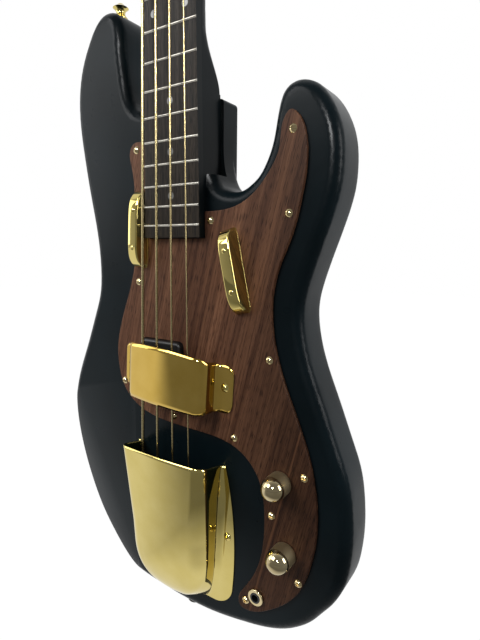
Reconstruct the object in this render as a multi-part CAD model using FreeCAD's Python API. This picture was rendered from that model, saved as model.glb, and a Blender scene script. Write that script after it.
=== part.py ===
# Four-string electric bass guitar with a bolt-on neck, walnut guard and gilt fittings.
# Frame: +Z runs up the neck, -Y is the front, +X is the treble side.
# The origin is the end pin's seat on the butt.
import FreeCAD
import Part
import math
import os

V = FreeCAD.Vector

# Scale and body
SCALE_LENGTH = 863.6
BODY_WIDTH = 328.0
BODY_LENGTH = 562.0
BODY_THICK = 44.45
BODY_EDGE_R = 10.0
CONTOUR_ANGLE = 15.0
CAVITY_DEPTH = 33.0
CAVITY_WALL = 3.0
WIRE_WAY_R = 5.0
OVERRUN = 6.0

# Neck, fretboard and headstock
NECK_WIDTH_NUT = 42.0
NECK_WIDTH_HEEL = 62.5
HEEL_LENGTH = 117.0
HEEL_THICK = 25.0
HEEL_PAST = 3.0
POCKET_WALL = 1.6
POCKET_CORNER_R = 11.0
BLOCK_CORNER_R = 3.5
BLOCK_EDGE_R = 3.0
BOARD_THICK = 6.35
BOARD_RISE = 9.525
BOARD_PAST_FRET = 10.4
FRET_COUNT = 20
FRET_HEIGHT = 1.0
FRET_WIDTH = 2.4
DOT_R = 3.2
DOT_DEPTH = 1.5
SHAFT_DEPTH_NUT = 14.3
SHAFT_DEPTH_HEEL = 17.0
SHAFT_EASE = 50.0
NUT_THICK = 5.0
HEAD_LENGTH = 185.0
HEAD_WIDTH = 92.0
HEAD_THICK = 15.0
HEAD_DROP = 12.0
HEAD_EDGE_R = 2.0
TRUSS_ROD_R = 3.0
TRUSS_ROD_DEPTH = 7.0
TRUSS_ROD_INSET = 10.0

# Neck plate and its screws
PLATE_WIDTH = 51.0
PLATE_LENGTH = 64.0
PLATE_THICK = 1.6
PLATE_CORNER_R = 6.0
PLATE_HOLE_INSET = 6.5

# Strings, from bass to treble
STRING_GAUGES = {"e": 2.67, "a": 2.16, "d": 1.65, "g": 1.14}
NUT_SPACING = 10.5
SADDLE_SPACING = 19.05
NUT_ACTION = 1.9
SADDLE_ACTION = 11.2
STRING_BEND_R = 14.0
STRING_TAIL_RUN = 7.0
BALL_R = 3.0
BALL_LENGTH = 5.0
WINDING_TURNS = 2
WINDING_GAP = 0.5
WINDING_RISE = 10.2

# Tuners
POST_R = 6.0
POST_RISE = 14.0
POST_SLOT_WIDTH = 2.4
POST_SLOT_DEPTH = 3.0
POST_X = 22.0
POST_NEAR = 58.0
POST_FAR = 120.0
BUSHING_R = 8.0
BUSHING_FLANGE_R = 9.6
BUSHING_FLANGE = 1.5
TUNER_PLATE_THICK = 1.8
TUNER_PLATE_WIDTH = 27.0
TUNER_PLATE_LENGTH = 42.0
TUNER_PLATE_FOOT = 25.0
TUNER_PLATE_INSET = 4.0
GEAR_R = 9.5
GEAR_THICK = 5.0
GEAR_STANDOFF = 1.3
GEAR_BORE_R = 3.6
GEAR_TEETH = 20
GEAR_NOTCH_R = 0.9
WORM_R = 3.2
WORM_LENGTH = 11.0
WORM_GROOVES = 4
WORM_GROOVE_R = 0.7
KEY_SHAFT_R = 2.2
KEY_SHAFT_REACH = 42.0
KEY_LUG_THICK = 3.5
KEY_LUG_WALL = 1.8
KEY_BUTTON_EDGE_R = 1.8
KEY_BUTTON_GRIP = 9.0
KEY_BUTTON_LENGTH = 26.0
KEY_BUTTON_WIDTH = 19.0
KEY_BUTTON_THICK = 5.0
RUN_CLEAR = 0.05
MESH_GAP = 0.3
LOOSE_GAP = 0.3

# Guard, its screws and what is let into it
GUARD_THICK = 3.0
GUARD_GAP = 0.8
GUARD_EDGE_R = 0.8
GUARD_SCREW = {"head_r": 3.5, "head_h": 2.0, "shank_r": 1.6, "length": 16.0}
COVER_SCREW = {"head_r": 3.9, "head_h": 2.3, "shank_r": 1.8, "length": 18.0}
REST_SCREW = {"head_r": 3.1, "head_h": 1.6, "shank_r": 1.5, "length": 26.0}
NECK_SCREW = {"head_r": 4.4, "head_h": 2.4, "shank_r": 2.2, "length": 44.0}
BRIDGE_SCREW = {"head_r": 3.6, "head_h": 2.0, "shank_r": 1.8, "length": 20.0}
TUNER_SCREW = {"head_r": 2.2, "head_h": 1.3, "shank_r": 1.1, "length": 9.0}
BUTTON_SCREW = {"head_r": 3.9, "head_h": 2.0, "shank_r": 2.0, "length": 30.0}
PICKUP_SCREW = {"head_r": 2.6, "head_h": 1.6, "shank_r": 1.4, "length": 28.0}

# Thumb rest and finger rest
REST_LENGTH = 70.0
REST_WIDTH = 17.0
REST_TOP_LENGTH = 50.0
REST_TOP_WIDTH = 10.0
REST_HEIGHT = 13.0
REST_WALL = 1.3
REST_SCREW_SPACING = 33.4
REST_SINK = 1.6
REST_GAP = 1.4
REST_CORNER_R = 4.0
REST_BOSS_WALL = 1.0
THUMB_REST_LEAN = -3.0
FINGER_REST_LEAN = 12.8

# Pickup and its cover
PICKUP_AHEAD = 140.6
PICKUP_HALF_LENGTH = 49.0
PICKUP_HALF_WIDTH = 28.0
PICKUP_HEIGHT = 18.0
PICKUP_RISE = 5.5
PICKUP_WALL = 1.4
PICKUP_EDGE_R = 2.5
PICKUP_GAP = 0.6
PICKUP_FLOOR = 2.0
PICKUP_CORNER_R = 4.0
PICKUP_SCREW_INSET = 3.6
POLE_PROUD = 0.5
BOBBIN_LENGTH = 37.0
BOBBIN_WIDTH = 12.4
BOBBIN_FLANGE = 1.6
BOBBIN_HEIGHT = 12.0
BOBBIN_CORE_WIDTH = 6.4
POLE_R = 2.2
POLE_SPREAD = 4.2
PICKUP_COVER_WIDTH = 128.0
PICKUP_COVER_LENGTH = 49.0
PICKUP_COVER_EAR_LENGTH = 42.0
PICKUP_COVER_EAR = 16.5
PICKUP_COVER_HEIGHT = 23.0
PICKUP_COVER_CROWN = 2.8
PICKUP_COVER_SPLAY = 4.0
PICKUP_COVER_X = -1.5
PICKUP_COVER_AHEAD = 138.8
PICKUP_COVER_LEAN = 3.5
COVER_WALL = 1.2
COVER_FOLD_R = 3.5
COVER_CORNER_R = 8.0
COVER_EAR_R = 8.0

# Bridge and its cover
BRIDGE_WIDTH = 74.0
BRIDGE_FRONT = 18.0
BRIDGE_BACK = 44.0
BRIDGE_THICK = 2.0
BRIDGE_LIP = 18.8
BRIDGE_SCREW_SPACING = 31.0
BRIDGE_SCREW_INSET = 5.0
SADDLE_R = 4.7
SADDLE_LENGTH = 17.0
SADDLE_CLEAR = 0.12
HEIGHT_SCREW_R = 1.0
HEIGHT_SCREW_X = 7.1
TRIM_SCREW_R = 1.5
TRIM_SCREW_X = 4.2
TRIM_HEAD_R = 2.4
TRIM_HEAD = 2.0
SPRING_R = 1.95
SPRING_WIRE_R = 0.25
SPRING_TURNS = 7
BALL_SEAT_RISE = 8.0
BRIDGE_COVER_WIDTH = 126.0
BRIDGE_COVER_LENGTH = 143.8
BRIDGE_COVER_BEHIND = 74.7
BRIDGE_COVER_DOME_WIDTH = 88.0
BRIDGE_COVER_FLARE = 5.8
BRIDGE_COVER_HEIGHT = 30.5
BRIDGE_COVER_FALL = 7.8
BRIDGE_COVER_TAIL = 51.5
BRIDGE_COVER_FOOT_TAIL = 41.0
BRIDGE_COVER_TAIL_ROUND = 50.0
BRIDGE_COVER_FRONT_LEAN = 6.2
BRIDGE_COVER_SCREW_X = 56.0
BRIDGE_COVER_EAR_FRONT = 109.0
BRIDGE_COVER_EAR_BACK = 118.0
BRIDGE_COVER_EAR_END = 3.8
BRIDGE_COVER_EAR_R = 17.0
BRIDGE_COVER_FOLD_R = 4.0
DOME_CORNER_R = 5.8
DOME_PLAN_POWER = 1.7
DOME_TAIL_POWER = 2.5
DOME_FOOT_POWER = 3.4

# Controls and output jack
POT_R = 12.0
POT_HEIGHT = 9.0
POT_BUSHING_R = 4.75
POT_BUSHING_RISE = 6.0
POT_SHAFT_R = 3.0
POT_SHAFT_RISE = 15.0
POT_SEAT = 1.0
NUT_R = 7.0
NUT_HEIGHT = 2.2
KNOB_R = 10.1
KNOB_HEIGHT = 22.0
KNOB_DOME_R = 9.6
KNOB_GAP = 0.5
KNOB_HOLLOW_R = 7.8
KNOB_HOLLOW = 8.0
JACK_R = 4.7
JACK_BORE_R = 3.25
JACK_DEPTH = 22.0
JACK_RISE = 2.8
JACK_RING_R = 7.4
JACK_RING = 2.4
JACK_FRAME_R = 8.5
JACK_FRAME = 2.0
JACK_RING_EDGE_R = 0.8
CAPACITOR_R = 4.0
CAPACITOR_LENGTH = 14.0
WIRE_R = 0.9

# Strap buttons
BUTTON_BASE_R = 6.5
BUTTON_WAIST_R = 4.2
BUTTON_HEAD_R = 7.5
BUTTON_HEIGHT = 14.0
BUTTON_RIM = 2.5
BUTTON_SEAT = 0.9

# Outlines and places as shares of half the body's width and of its length.
# The first four say where saddle, pocket end and neck block fall on them, and how the body's length
# that the neck leaves over is parted between the tail and the horns.
saddle_outline_share = 0.16354
pocket_outline_share = 0.83366
neck_side_share = 0.2003
tail_share = 0.50386
body_outline_shares = [
    (-0.256, 0.826), (-0.329, 0.834), (-0.369, 0.853), (-0.393, 0.885), (-0.415, 0.933),
    (-0.427, 0.970), (-0.473, 0.994), (-0.549, 1.000), (-0.634, 0.988), (-0.698, 0.965),
    (-0.774, 0.924), (-0.814, 0.874), (-0.817, 0.834), (-0.793, 0.779), (-0.738, 0.697),
    (-0.686, 0.625), (-0.671, 0.570), (-0.683, 0.531), (-0.732, 0.492), (-0.820, 0.432),
    (-0.915, 0.370), (-0.966, 0.313), (-0.979, 0.257), (-0.949, 0.194), (-0.882, 0.139),
    (-0.775, 0.088), (-0.618, 0.047), (-0.427, 0.015), (-0.220, 0.004), (0.000, 0.000), (0.244, 0.003),
    (0.457, 0.014), (0.545, 0.020), (0.629, 0.028), (0.701, 0.038), (0.776, 0.053), (0.834, 0.069),
    (0.886, 0.089), (0.929, 0.106), (0.967, 0.126), (0.996, 0.148), (1.013, 0.174), (1.022, 0.205),
    (1.015, 0.255), (0.991, 0.296), (0.933, 0.342), (0.863, 0.393), (0.784, 0.450), (0.741, 0.499),
    (0.735, 0.531), (0.762, 0.568), (0.835, 0.630), (0.875, 0.665), (0.898, 0.694), (0.904, 0.720),
    (0.898, 0.748), (0.882, 0.768), (0.861, 0.783), (0.837, 0.796), (0.807, 0.808), (0.768, 0.819),
    (0.726, 0.825), (0.680, 0.827), (0.640, 0.824), (0.605, 0.815), (0.584, 0.800), (0.571, 0.782),
    (0.559, 0.762), (0.542, 0.744), (0.514, 0.726), (0.476, 0.710), (0.437, 0.701), (0.393, 0.694),
    (0.341, 0.692), (0.292, 0.695), (0.249, 0.704), (0.222, 0.719),
]
guard_outline_shares = [
    (-0.256, 0.778), (-0.317, 0.775), (-0.340, 0.763), (-0.326, 0.738), (-0.310, 0.704),
    (-0.307, 0.655), (-0.311, 0.602), (-0.338, 0.563), (-0.390, 0.522), (-0.448, 0.478),
    (-0.479, 0.437), (-0.470, 0.400), (-0.421, 0.365), (-0.341, 0.344), (-0.232, 0.331),
    (-0.061, 0.324), (0.152, 0.322), (0.305, 0.319), (0.402, 0.311), (0.482, 0.295), (0.537, 0.273),
    (0.567, 0.244), (0.576, 0.205), (0.564, 0.159), (0.524, 0.120), (0.457, 0.086), (0.424, 0.067),
    (0.433, 0.054), (0.482, 0.051), (0.591, 0.064), (0.695, 0.088), (0.780, 0.119), (0.835, 0.163),
    (0.863, 0.216), (0.854, 0.271), (0.811, 0.326), (0.726, 0.388), (0.640, 0.450), (0.598, 0.504),
    (0.595, 0.542), (0.628, 0.586), (0.689, 0.628), (0.732, 0.676), (0.753, 0.715), (0.744, 0.758),
    (0.716, 0.777), (0.668, 0.787), (0.640, 0.779), (0.616, 0.742), (0.558, 0.710), (0.476, 0.685),
    (0.378, 0.670), (0.274, 0.665),
]
guard_screw_shares = [
    (-0.287, 0.766), (-0.288, 0.555), (-0.423, 0.379), (-0.030, 0.337), (0.229, 0.651), (0.684, 0.763),
    (0.673, 0.657), (0.587, 0.455), (0.385, 0.327), (0.791, 0.296), (0.616, 0.223), (0.777, 0.134),
    (0.470, 0.067),
]
control_shares = {"volume": (0.666, 0.279), "tone": (0.701, 0.173)}
jack_share = (0.538, 0.082)
finger_rest_share = (0.387, 0.578)
thumb_rest_z_share = 0.640
forearm_crease_shares = [(-0.848, 0.318), (-0.470, 0.104)]
horn_button_share = (-0.549, 1.000)
plank_joint_shares = [-0.360, 0.215, 0.512]
# Right half of the headstock, as shares of half its width and of its length
head_outline_shares = [
    (0.470, 0.060), (0.700, 0.140), (0.930, 0.240), (1.000, 0.370), (0.965, 0.560),
    (0.890, 0.760), (0.845, 0.900), (0.700, 0.985), (0.380, 0.975), (0.000, 0.945),
]
dot_frets = [3, 5, 7, 9, 15, 17, 19]
octave_fret = 12
octave_dot_share = 0.27

# Levels that several pieces share
FACE_Y = -BODY_THICK / 2
BACK_Y = BODY_THICK / 2
HALF_WIDTH = BODY_WIDTH / 2
GUARD_TOP_Y = FACE_Y - GUARD_THICK
BOARD_TOP_Y = FACE_Y - BOARD_RISE
BOARD_BACK_Y = BOARD_TOP_Y + BOARD_THICK
HEEL_BACK_Y = BOARD_BACK_Y + HEEL_THICK
FRET_TOP_Y = BOARD_TOP_Y - FRET_HEIGHT
HEAD_FACE_Y = BOARD_TOP_Y + HEAD_DROP
HEAD_BACK_Y = HEAD_FACE_Y + HEAD_THICK
FRONT = V(0, -1, 0)
BACK = V(0, 1, 0)


def fret_reach(number):
    """The way from the saddles to a fret."""
    return SCALE_LENGTH * 2 ** (-number / 12)


POCKET_REACH = fret_reach(FRET_COUNT) - BOARD_PAST_FRET + HEEL_LENGTH
SADDLE_Z = tail_share * (BODY_LENGTH - POCKET_REACH)
NUT_Z = SADDLE_Z + SCALE_LENGTH
POCKET_END_Z = SADDLE_Z + POCKET_REACH
BOARD_END_Z = POCKET_END_Z - HEEL_LENGTH
PICKUP_Z = SADDLE_Z + PICKUP_AHEAD
PICKUP_COVER_Z = SADDLE_Z + PICKUP_COVER_AHEAD
BRIDGE_COVER_TAIL_Z = SADDLE_Z - BRIDGE_COVER_BEHIND
BLOCK_X = NECK_WIDTH_HEEL / 2 + POCKET_WALL


def fret_z(number):
    return SADDLE_Z + fret_reach(number)


def neck_half(z):
    """Half the neck's width, on a straight taper from heel to nut."""
    along = (NUT_Z - z) / (NUT_Z - BOARD_END_Z)
    return (NECK_WIDTH_NUT + (NECK_WIDTH_HEEL - NECK_WIDTH_NUT) * along) / 2


def at_share(share, stops):
    """The length at a share, on straight runs between stops of share and length."""
    run = next((i for i in range(1, len(stops) - 1) if share <= stops[i][0]), len(stops) - 1)
    (low_share, low), (high_share, high) = stops[run - 1], stops[run]
    return low + (high - low) * (share - low_share) / (high_share - low_share)


def on_body(share, y=0.0):
    """A place on the body: outwards from the neck block, and along tail, saddle to pocket, and horns."""
    across = [(0, 0), (neck_side_share, BLOCK_X), (1, HALF_WIDTH)]
    along = [(0, 0), (saddle_outline_share, SADDLE_Z), (pocket_outline_share, POCKET_END_Z), (1, BODY_LENGTH)]
    return V(math.copysign(at_share(abs(share[0]), across), share[0]), y, at_share(share[1], along))


# Shapes that the pieces are made from
def block(x0, x1, y0, y1, z0, z1):
    return Part.makeBox(x1 - x0, y1 - y0, z1 - z0, V(x0, y0, z0))


def rod(radius, start, end):
    return Part.makeCylinder(radius, (end - start).Length, start, end - start)


def line(start, end):
    return Part.LineSegment(start, end).toShape()


def arc(start, middle, end):
    return Part.Arc(start, middle, end).toShape()


def spline(points):
    through = Part.BSplineCurve()
    through.interpolate(Points=points)
    return through


def curve(points):
    return spline(points).toShape()


def chain(smooth):
    """The edges of a smooth curve, parted at every fourth point that it was drawn through."""
    knots = smooth.getKnots()
    cuts = knots[:-1:4] + knots[-1:]
    edges = []
    for start, end in zip(cuts, cuts[1:]):
        piece = smooth.copy()
        piece.segment(start, end)
        edges.append(piece.toShape())
    return edges


def spline_rims(solid, y):
    """The curved edges of a solid's outline at a level."""
    return [edge for edge in solid.Edges if isinstance(edge.Curve, Part.BSplineCurve)
            and abs(edge.BoundBox.YMin - y) + abs(edge.BoundBox.YMax - y) < RUN_CLEAR]


def rounded_path(points, radii, closed):
    """Straight runs joined by tangent arcs of the given radius at each point, none where it is zero."""
    count = len(points)
    runs = []
    for i, point in enumerate(points):
        inner = closed or 0 < i < count - 1
        if not inner or radii[i] == 0:
            runs.append((point, None, point))
            continue
        back = (points[i - 1] - point).normalize()
        on = (points[(i + 1) % count] - point).normalize()
        half = back.getAngle(on) / 2
        reach = radii[i] / math.tan(half)
        middle = point + (back + on).normalize() * (radii[i] / math.sin(half) - radii[i])
        runs.append((point + back * reach, middle, point + on * reach))
    edges = []
    for i, (start, middle, end) in enumerate(runs):
        if middle is not None:
            edges.append(arc(start, middle, end))
        if closed or i < count - 1:
            edges.append(line(end, runs[(i + 1) % count][0]))
    return edges


def slab(edges, way):
    """A flat face inside the edges, carried along a way."""
    return Part.Face(Part.Wire(edges)).extrude(way)


def rounded_slab(half_x, half_z, radius, centre, depth):
    """A plate with round corners, its front at the centre point and its back a depth behind."""
    corners = [V(half_x, 0, half_z), V(-half_x, 0, half_z), V(-half_x, 0, -half_z), V(half_x, 0, -half_z)]
    edges = rounded_path([centre + corner for corner in corners], [radius] * len(corners), True)
    return slab(edges, V(0, depth, 0))


def turned(profile):
    """A solid turned about +Z from edges in the XZ plane."""
    return Part.Face(Part.Wire(profile)).revolve(V(0, 0, 0), V(0, 0, 1), 360)


def placed(shape, seat, way):
    """A shape made on +Z, set on a seat with +Z turned to a way."""
    moved = shape.copy()
    moved.Placement = FreeCAD.Placement(seat, FreeCAD.Rotation(V(0, 0, 1), way))
    return moved


cross_shares = (0.55, 0.11)
cross_floor_share = 0.45


def oval_screw(seat, way, size):
    """An oval-head wood screw with a cross recess. The seat is under its head."""
    head_r, head_h = size["head_r"], size["head_h"]
    shank_r, length = size["shank_r"], size["length"]
    ball_r = (head_r ** 2 + head_h ** 2) / (2 * head_h)
    half = math.asin(head_r / ball_r) / 2
    crown = V(ball_r * math.sin(half), 0, head_h - ball_r + ball_r * math.cos(half))
    corners = [V(head_r, 0, 0), V(shank_r, 0, 0), V(shank_r, 0, 2 * shank_r - length), V(0, 0, -length)]
    profile = [arc(V(0, 0, head_h), crown, corners[0])]
    profile += [line(a, b) for a, b in zip(corners, corners[1:])]
    profile.append(line(corners[-1], V(0, 0, head_h)))
    arm, width = [share * head_r for share in cross_shares]
    floor = cross_floor_share * head_h
    cross = block(-arm, arm, -width, width, floor, 2 * head_h)
    cross = cross.fuse(block(-width, width, -arm, arm, floor, 2 * head_h))
    return placed(turned(profile).cut(cross), seat, way)


def shank_hole(seat, way, size):
    """What an oval screw's shank takes out of the pieces under its head."""
    return rod(size["shank_r"], seat, seat - way * size["length"])


def biarc(p0, t0, p1, t1):
    """Two tangent arcs from p0 to p1 with the given unit ways at its ends."""
    span, ways = p1 - p0, t0 + t1
    spread = 2 * (1 - t0.dot(t1))
    along = span.dot(ways)
    reach = (-along + math.sqrt(along ** 2 + spread * span.dot(span))) / spread
    joint = (p0 + t0 * reach + p1 - t1 * reach) * 0.5
    edges = []
    for start, way, end in ((p0, t0, joint), (p1, t1 * -1, joint)):
        chord = end - start
        unit = V(chord).normalize()
        side = (way - unit * way.dot(unit)).normalize()
        middle = (start + end) * 0.5 + side * (chord.Length / 2 * math.tan(way.getAngle(chord) / 2))
        edges.append((start, middle, end))
    return [arc(*edges[0]), arc(edges[1][2], edges[1][1], edges[1][0])]


def helix_stations(centre, across, up, along, radius, pitch, first, sweep, steps):
    """Points and ways on a helix about a centre line, from a first angle through a sweep, in radians."""
    stations = []
    for k in range(steps + 1):
        turn = sweep * k / steps
        angle = first + turn
        out = across * math.cos(angle) + up * math.sin(angle)
        way = (up * math.cos(angle) - across * math.sin(angle)) * (radius * math.copysign(1, sweep))
        rise = pitch / (2 * math.pi)
        point = centre + out * radius + along * (rise * abs(turn))
        stations.append((point, (way + along * rise).normalize()))
    return stations


def helix_edges(stations):
    edges = []
    for (p0, t0), (p1, t1) in zip(stations, stations[1:]):
        edges += biarc(p0, t0, p1, t1)
    return edges


def tube(edges, radius):
    """A round tube along edges that run on tangent."""
    first = edges[0]
    way = first.tangentAt(first.FirstParameter)
    ring = Part.Circle(first.valueAt(first.FirstParameter), way, radius).toShape()
    return Part.Wire(edges).makePipeShell([Part.Wire([ring])], True, False)


def self_gap(edges, diameter, steps_apart):
    """The least gap of a wound tube to itself, measured on points along its centre line."""
    points = [edge.valueAt(edge.FirstParameter + (edge.LastParameter - edge.FirstParameter) * k / 4)
              for edge in edges for k in range(4)]
    gaps = [points[i].distanceToPoint(points[j]) - diameter
            for i in range(len(points)) for j in range(i + steps_apart, len(points))]
    return min(gaps)


def export(name, *solids):
    shape = solids[0] if len(solids) == 1 else Part.makeCompound(list(solids))
    shape.exportStep("parts/" + name + ".step")


os.makedirs("parts", exist_ok=True)

# Strings: from the ball end through the bridge lip, over the saddle and nut, and round the tuner post
letters = list(STRING_GAUGES)
tuner_side = {"e": -1, "a": -1, "d": 1, "g": 1}
tuner_reach = {"e": POST_NEAR, "a": POST_FAR, "d": POST_FAR, "g": POST_NEAR}
LIP_BACK_Z = SADDLE_Z - BRIDGE_BACK
string_line = {}
strings = {}
for place, letter in enumerate(letters):
    radius = STRING_GAUGES[letter] / 2
    step = place - (len(letters) - 1) / 2
    at_nut = V(step * NUT_SPACING, FRET_TOP_Y - NUT_ACTION, NUT_Z)
    at_saddle = V(step * SADDLE_SPACING, FRET_TOP_Y - SADDLE_ACTION, SADDLE_Z)
    way = (at_nut - at_saddle).normalize()
    string_line[letter] = (at_saddle, way)
    behind_saddle = at_saddle - way * STRING_TAIL_RUN
    ball_seat = V(at_saddle.x, FACE_Y - BALL_SEAT_RISE, LIP_BACK_Z)
    behind_nut = at_nut + way * NUT_THICK
    # The run to the post touches the winding's circle on its inner side
    side = tuner_side[letter]
    post = V(side * POST_X, HEAD_FACE_Y - WINDING_RISE, NUT_Z + tuner_reach[letter])
    winding_r = POST_R + LOOSE_GAP + radius
    to_post = V(post.x - behind_nut.x, 0, post.z - behind_nut.z)
    lean = math.atan2(to_post.x, to_post.z) - side * math.asin(winding_r / to_post.Length)
    first = math.atan2(-math.sin(lean), math.cos(lean)) + (math.pi if side > 0 else 0)
    pitch = 2 * radius + WINDING_GAP
    stations = helix_stations(post, V(1, 0, 0), V(0, 0, 1), V(0, 1, 0), winding_r, pitch,
                              first, -side * 2 * math.pi * WINDING_TURNS, 4 * WINDING_TURNS)
    touch = stations[0][0]
    stations[0] = (touch, (touch - behind_nut).normalize())
    path = rounded_path([ball_seat, behind_saddle, behind_nut, touch],
                        [0, STRING_BEND_R, STRING_BEND_R, 0], False)
    winding = helix_edges(stations)
    print("winding", letter, "gap to itself", round(self_gap(winding, 2 * radius, 24), 2))
    ball = rod(BALL_R, ball_seat - V(0, 0, BALL_LENGTH), ball_seat)
    strings[letter] = tube(path + winding, radius)
    export("string_" + letter, strings[letter], ball.cut(strings[letter]))

# Neck: heel, shaft and headstock in one piece of wood
grip_power = 2.3
grip_round_share = 0.94
heel_round_share = 0.06
ease_shares = [0, 0.2, 0.4, 0.6, 0.8, 1]


def neck_section(z, depth, round_share=grip_round_share):
    """A section of the neck: flat under the board, a share of its half width and depth rounded off."""
    half = neck_half(min(z, NUT_Z))
    reach_x, reach_y = half * round_share, depth * round_share
    steps = 8
    right = []
    for k in range(steps + 1):
        angle = math.pi * k / (2 * steps)
        out, down = [max(part(angle), 0) ** (2 / grip_power) for part in (math.cos, math.sin)]
        right.append(V(half - reach_x * (1 - out), BOARD_BACK_Y + depth - reach_y * (1 - down), z))
    left = [V(-point.x, point.y, point.z) for point in reversed(right)]
    front = [V(half, BOARD_BACK_Y, z), V(-half, BOARD_BACK_Y, z)]
    return Part.Wire([line(front[0], right[0]), curve(right), line(right[-1], left[0]), curve(left),
                      line(left[-1], front[1]), line(front[1], front[0])])


def tapered_prism(z0, z1, y0, y1):
    a, b = neck_half(z0), neck_half(z1)
    corners = [V(-a, y0, z0), V(a, y0, z0), V(b, y0, z1), V(-b, y0, z1)]
    return slab(rounded_path(corners, [0] * len(corners), True), V(0, y1 - y0, 0))


HEEL_END_Z = POCKET_END_Z + HEEL_PAST
heel = tapered_prism(BOARD_END_Z, HEEL_END_Z, BOARD_BACK_Y, HEEL_BACK_Y)
head_ease = NUT_THICK + HEAD_THICK
shaft_sections = []
for share in ease_shares:
    ease = share ** 2 * (3 - 2 * share)
    shaft_sections.append(neck_section(HEEL_END_Z + share * SHAFT_EASE,
                                       HEEL_THICK + ease * (SHAFT_DEPTH_HEEL - HEEL_THICK),
                                       heel_round_share + ease * (grip_round_share - heel_round_share)))
shaft = Part.makeLoft(shaft_sections, True)
grip = Part.makeLoft([
    neck_section(HEEL_END_Z + SHAFT_EASE, SHAFT_DEPTH_HEEL),
    neck_section((HEEL_END_Z + SHAFT_EASE + NUT_Z) / 2, (SHAFT_DEPTH_HEEL + SHAFT_DEPTH_NUT) / 2),
    neck_section(NUT_Z - head_ease, SHAFT_DEPTH_NUT)], True)
volute = Part.makeLoft([
    neck_section(NUT_Z - head_ease, SHAFT_DEPTH_NUT),
    neck_section(NUT_Z, (SHAFT_DEPTH_NUT + HEAD_BACK_Y - BOARD_BACK_Y) / 2),
    neck_section(NUT_Z + head_ease, HEAD_BACK_Y - BOARD_BACK_Y)], True)
right = [V(x * HEAD_WIDTH / 2, HEAD_FACE_Y, NUT_Z + z * HEAD_LENGTH) for x, z in head_outline_shares]
left = [V(-point.x, point.y, point.z) for point in reversed(right[:-1])]
foot = [V(-NECK_WIDTH_NUT / 2, HEAD_FACE_Y, NUT_Z), V(NECK_WIDTH_NUT / 2, HEAD_FACE_Y, NUT_Z)]
head_curve = chain(spline([foot[1]] + right + left + [foot[0]]))
head = slab(head_curve + [line(foot[0], foot[1])], V(0, HEAD_THICK, 0))
head = head.makeFillet(HEAD_EDGE_R, spline_rims(head, HEAD_FACE_Y) + spline_rims(head, HEAD_BACK_Y))
above_head = block(-HEAD_WIDTH, HEAD_WIDTH, BOARD_TOP_Y - OVERRUN, HEAD_FACE_Y,
                   NUT_Z + NUT_THICK, NUT_Z + HEAD_LENGTH)
volute = volute.cut(above_head)
rod_start = V(0, BOARD_BACK_Y + TRUSS_ROD_DEPTH, BOARD_END_Z + TRUSS_ROD_INSET)
rod_end = V(0, BOARD_BACK_Y + TRUSS_ROD_DEPTH, NUT_Z - TRUSS_ROD_INSET)
truss_rod = rod(TRUSS_ROD_R, rod_start, rod_end)
posts = {letter: V(tuner_side[letter] * POST_X, HEAD_FACE_Y, NUT_Z + tuner_reach[letter])
         for letter in letters}
neck = heel.fuse([shaft, grip, volute, head]).cut(truss_rod)
neck = neck.cut([rod(BUSHING_R, posts[letter] - BACK * OVERRUN, posts[letter] + BACK * (HEAD_THICK + OVERRUN))
                 for letter in letters])
export("truss_rod", truss_rod)

# Fretboard with its dots and frets, and the nut
board = tapered_prism(BOARD_END_Z, NUT_Z, BOARD_TOP_Y, BOARD_BACK_Y)
dot_places = [(0.0, number) for number in dot_frets]
dot_places += [(side * octave_dot_share * NECK_WIDTH_HEEL, octave_fret) for side in (-1, 1)]
dots = []
for x, number in dot_places:
    seat = V(x, BOARD_TOP_Y, (fret_z(number) + fret_z(number - 1)) / 2)
    dots.append(rod(DOT_R, seat, seat + BACK * DOT_DEPTH))
export("position_dots", *dots)
export("fretboard", board.cut(dots))
frets = []
for number in range(1, FRET_COUNT + 1):
    z = fret_z(number)
    half = neck_half(z)
    low, high = [V(-half, BOARD_TOP_Y, z + way * FRET_WIDTH / 2) for way in (-1, 1)]
    top = V(-half, FRET_TOP_Y, z)
    frets.append(slab([arc(low, top, high), line(high, low)], V(2 * half, 0, 0)))
export("frets", *frets)
nut_half = NECK_WIDTH_NUT / 2
nut = block(-nut_half, nut_half, FRET_TOP_Y - NUT_ACTION, BOARD_BACK_Y, NUT_Z, NUT_Z + NUT_THICK)
for letter in letters:
    start, way = string_line[letter]
    reach = (NUT_Z - SADDLE_Z) / way.z
    groove = rod(STRING_GAUGES[letter] / 2 + RUN_CLEAR, start + way * (reach - OVERRUN),
                 start + way * (reach + 2 * OVERRUN))
    nut = nut.cut([groove, strings[letter]])
neck = neck.cut(block(-nut_half, nut_half, BOARD_TOP_Y - OVERRUN, BOARD_BACK_Y, NUT_Z, NUT_Z + NUT_THICK))
export("nut", nut)

# Body: outline with both horns, rounded edges, contours, neck pocket and cavities
spline_points = [V(-BLOCK_X + POCKET_CORNER_R, FACE_Y, POCKET_END_Z)]
spline_points += [on_body(share, FACE_Y) for share in body_outline_shares]
block_foot = V(BLOCK_X, FACE_Y, (POCKET_END_Z + spline_points[-1].z) / 2)
corner_start = V(BLOCK_X, FACE_Y, POCKET_END_Z - POCKET_CORNER_R)
corner_end = V(BLOCK_X - POCKET_CORNER_R, FACE_Y, POCKET_END_Z)
corner_turn = V(math.cos(math.pi / 4) - 1, 0, math.sin(math.pi / 4))
corner_mid = corner_start + corner_turn * POCKET_CORNER_R
sides = Part.BSplineCurve()
sides.interpolate(Points=spline_points + [block_foot], InitialTangent=V(-1, 0, 0),
                  FinalTangent=V(0, 0, 1), Scale=False)
outline = chain(sides) + [line(block_foot, corner_start), arc(corner_start, corner_mid, corner_end),
                          line(corner_end, spline_points[0])]
body = slab(outline, V(0, BODY_THICK, 0))
rims = [edge for edge in body.Edges if edge.BoundBox.YLength < BODY_EDGE_R]
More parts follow.
